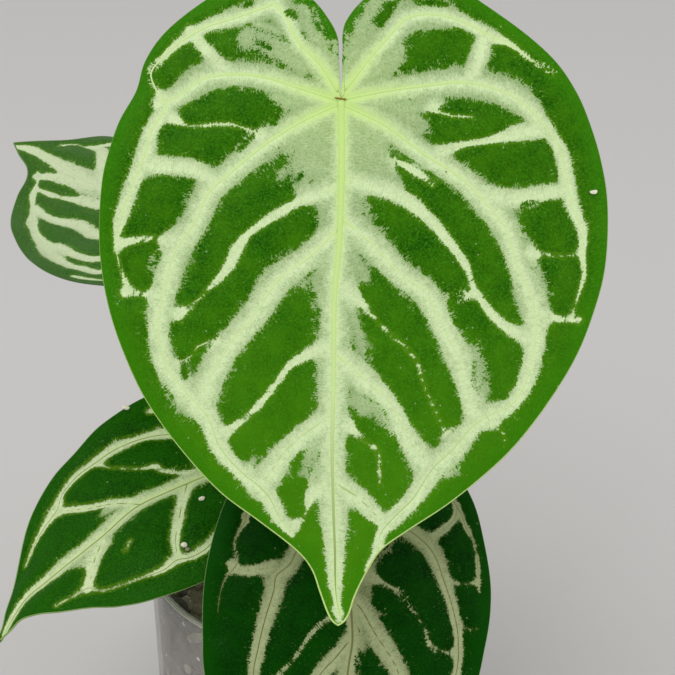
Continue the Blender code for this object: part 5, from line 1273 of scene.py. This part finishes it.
def sheathMaterial():
    # Cataphyll: dead papery sheath, tan between darker lengthwise fibres
    material, tree, shader = newMaterial("dryPaperySheath", roughness=0.8, Specular_IOR_Level=0.2)
    across = addNode(tree, "ShaderNodeAttribute", attribute_name="across").outputs["Fac"]
    lift = addNode(tree, "ShaderNodeAttribute", attribute_name="lift").outputs["Fac"]
    spot = addNode(tree, "ShaderNodeCombineXYZ", {0: across, 1: lift})
    fibre = addNode(tree, "ShaderNodeMapping", {"Vector": spot.outputs[0], "Scale": (26, 1.6, 1)})
    fibre = addNode(tree, "ShaderNodeTexNoise", {"Vector": fibre.outputs[0], "Scale": 1.0, "Detail": 4.0})
    worn = addNode(tree, "ShaderNodeTexNoise", {"Vector": spot.outputs[0], "Scale": 5.0, "Detail": 4.0})
    lines = addNode(tree, "ShaderNodeMapRange", {"Value": fibre.outputs["Fac"], "From Min": 0.38,
                                                 "From Max": 0.62}, interpolation_type="SMOOTHSTEP")
    paper = addNode(tree, "ShaderNodeMix", {0: worn.outputs["Fac"], 6: "a88658", 7: "cdb183"}, data_type="RGBA").outputs[2]
    tree.links.new(addNode(tree, "ShaderNodeMix", {0: lines.outputs[0], 6: "5f4328", 7: paper}, data_type="RGBA").outputs[2], shader.inputs["Base Color"])
    bump = addNode(tree, "ShaderNodeBump", {"Height": fibre.outputs["Fac"], "Strength": 0.5,
                                            "Distance": 0.3 * mm})
    tree.links.new(bump.outputs[0], shader.inputs["Normal"])
    return material


# crumbs of perlite and bark that lie on the blades: leaf, u, v, size in millimetres, kind
crumbs = {"side": [(15.3, 30.2, 1.15, 1), (29.2, 45.3, 1.2, 1), (31.1, 44.9, 0.9, 0.5),
                   (-45.4, 33.8, 1.4, 1)],
          "front": [(83.9, 30.0, 1.2, 1), (34.7, 23.6, 0.32, 0), (-20.5, 15.8, 0.32, 0)]}


def makeCrumbs(part, leaf, material):
    # A few chunks that rest on the blade, a third of their size above its skin
    spots = np.array(crumbs[part])
    flat = spots[:, :2]
    fields = bladeFields(leaf, flat)
    height = bladeHeight(leaf, flat, fields["chief"], fields["edge"]) + 0.35 + 0.35 * spots[:, 2]
    rng = np.random.default_rng(6)
    places = placeOnLeaf(leaf, flat[:, 0], flat[:, 1], height)
    count = len(spots)
    stretch = np.stack([np.ones(count), np.full(count, 0.85), np.full(count, 0.6)], axis=1)
    points, faces, each = makeChips(places / mm, spots[:, 2], stretch, randomSpins(count, rng, 0.3), rng)
    return makePiece(part + "Crumbs", points * mm, faces, [material], {"kind": np.repeat(spots[:, 3], each)},
                     sharp=30)


grit = mixMaterial()
stemSkin = petioleMaterial()
paperSkin = sheathMaterial()
built = [(makePot(), "pot", "pot"), (makeMix(grit), "potting_mix", "mix"),
         (makeCrown(crownMaterial()), "rootstock", "rootstock"),
         (makeSheath("right", paperSkin), "cataphyll_right", "cataphyll"),
         (makeSheath("left", paperSkin), "cataphyll_left", "cataphyll"),
         (makeCrumbs("side", sideLeaf, grit), "blade_side", "blade"),
         (makeCrumbs("front", frontLeaf, grit), "blade_front", "blade")]
for part, leaf in (("front", frontLeaf), ("side", sideLeaf), ("low", lowLeaf), ("back", backLeaf)):
    built.append((makePetiole(part, leaf, stemSkin), "petiole_" + part, "petiole"))
for piece, node, slot in built:
    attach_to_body(piece, "root")
    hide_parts(node)
    print("piece made:", piece.name, len(piece.data.polygons))


def makeStudio():
    # Pale grey table sheet that the pot stands on
    bpy.ops.mesh.primitive_plane_add(size=8, location=(0, 0, -0.0002))
    floor = bpy.context.object
    floor.name = "tableSheet"
    material, tree, shader = newMaterial("paleSheet", roughness=0.8)
    shader.inputs["Base Color"].default_value = linear("d4d2d1")
    floor.data.materials.append(material)

    world = bpy.data.worlds.new("softRoom")
    scene.world = world
    world.use_nodes = True
    backdrop = world.node_tree.nodes["Background"]
    backdrop.inputs["Color"].default_value = linear("f6f6f4")
    backdrop.inputs["Strength"].default_value = 0.65
    for name, place, size, power, aim in (("softKey", (-0.7, -0.9, 1.9), 1.4, 16, (0, 0, 0.2)),
                                          ("softFill", (1.4, -0.9, 1.1), 1.6, 6, (0, 0, 0.2))):
        lamp = bpy.data.lights.new(name, "AREA")
        lamp.size = size
        lamp.energy = power
        light = bpy.data.objects.new(name, lamp)
        scene.collection.objects.link(light)
        light.location = place
        run = unit(np.array(aim) - np.array(place))
        light.rotation_euler = (math.acos(-run[2]), 0, math.atan2(run[1], run[0]) - math.pi / 2)

    lens = bpy.data.cameras.new("camera")
    lens.lens = 88
    lens.sensor_width = 36
    camera = bpy.data.objects.new("camera", lens)
    scene.collection.objects.link(camera)
    camera.location = (0.01025, -0.5287, 0.5203)
    camera.rotation_euler = (math.radians(60), 0, 0)
    scene.camera = camera
    scene.view_settings.view_transform = "Standard"


makeStudio()
print("finishing")
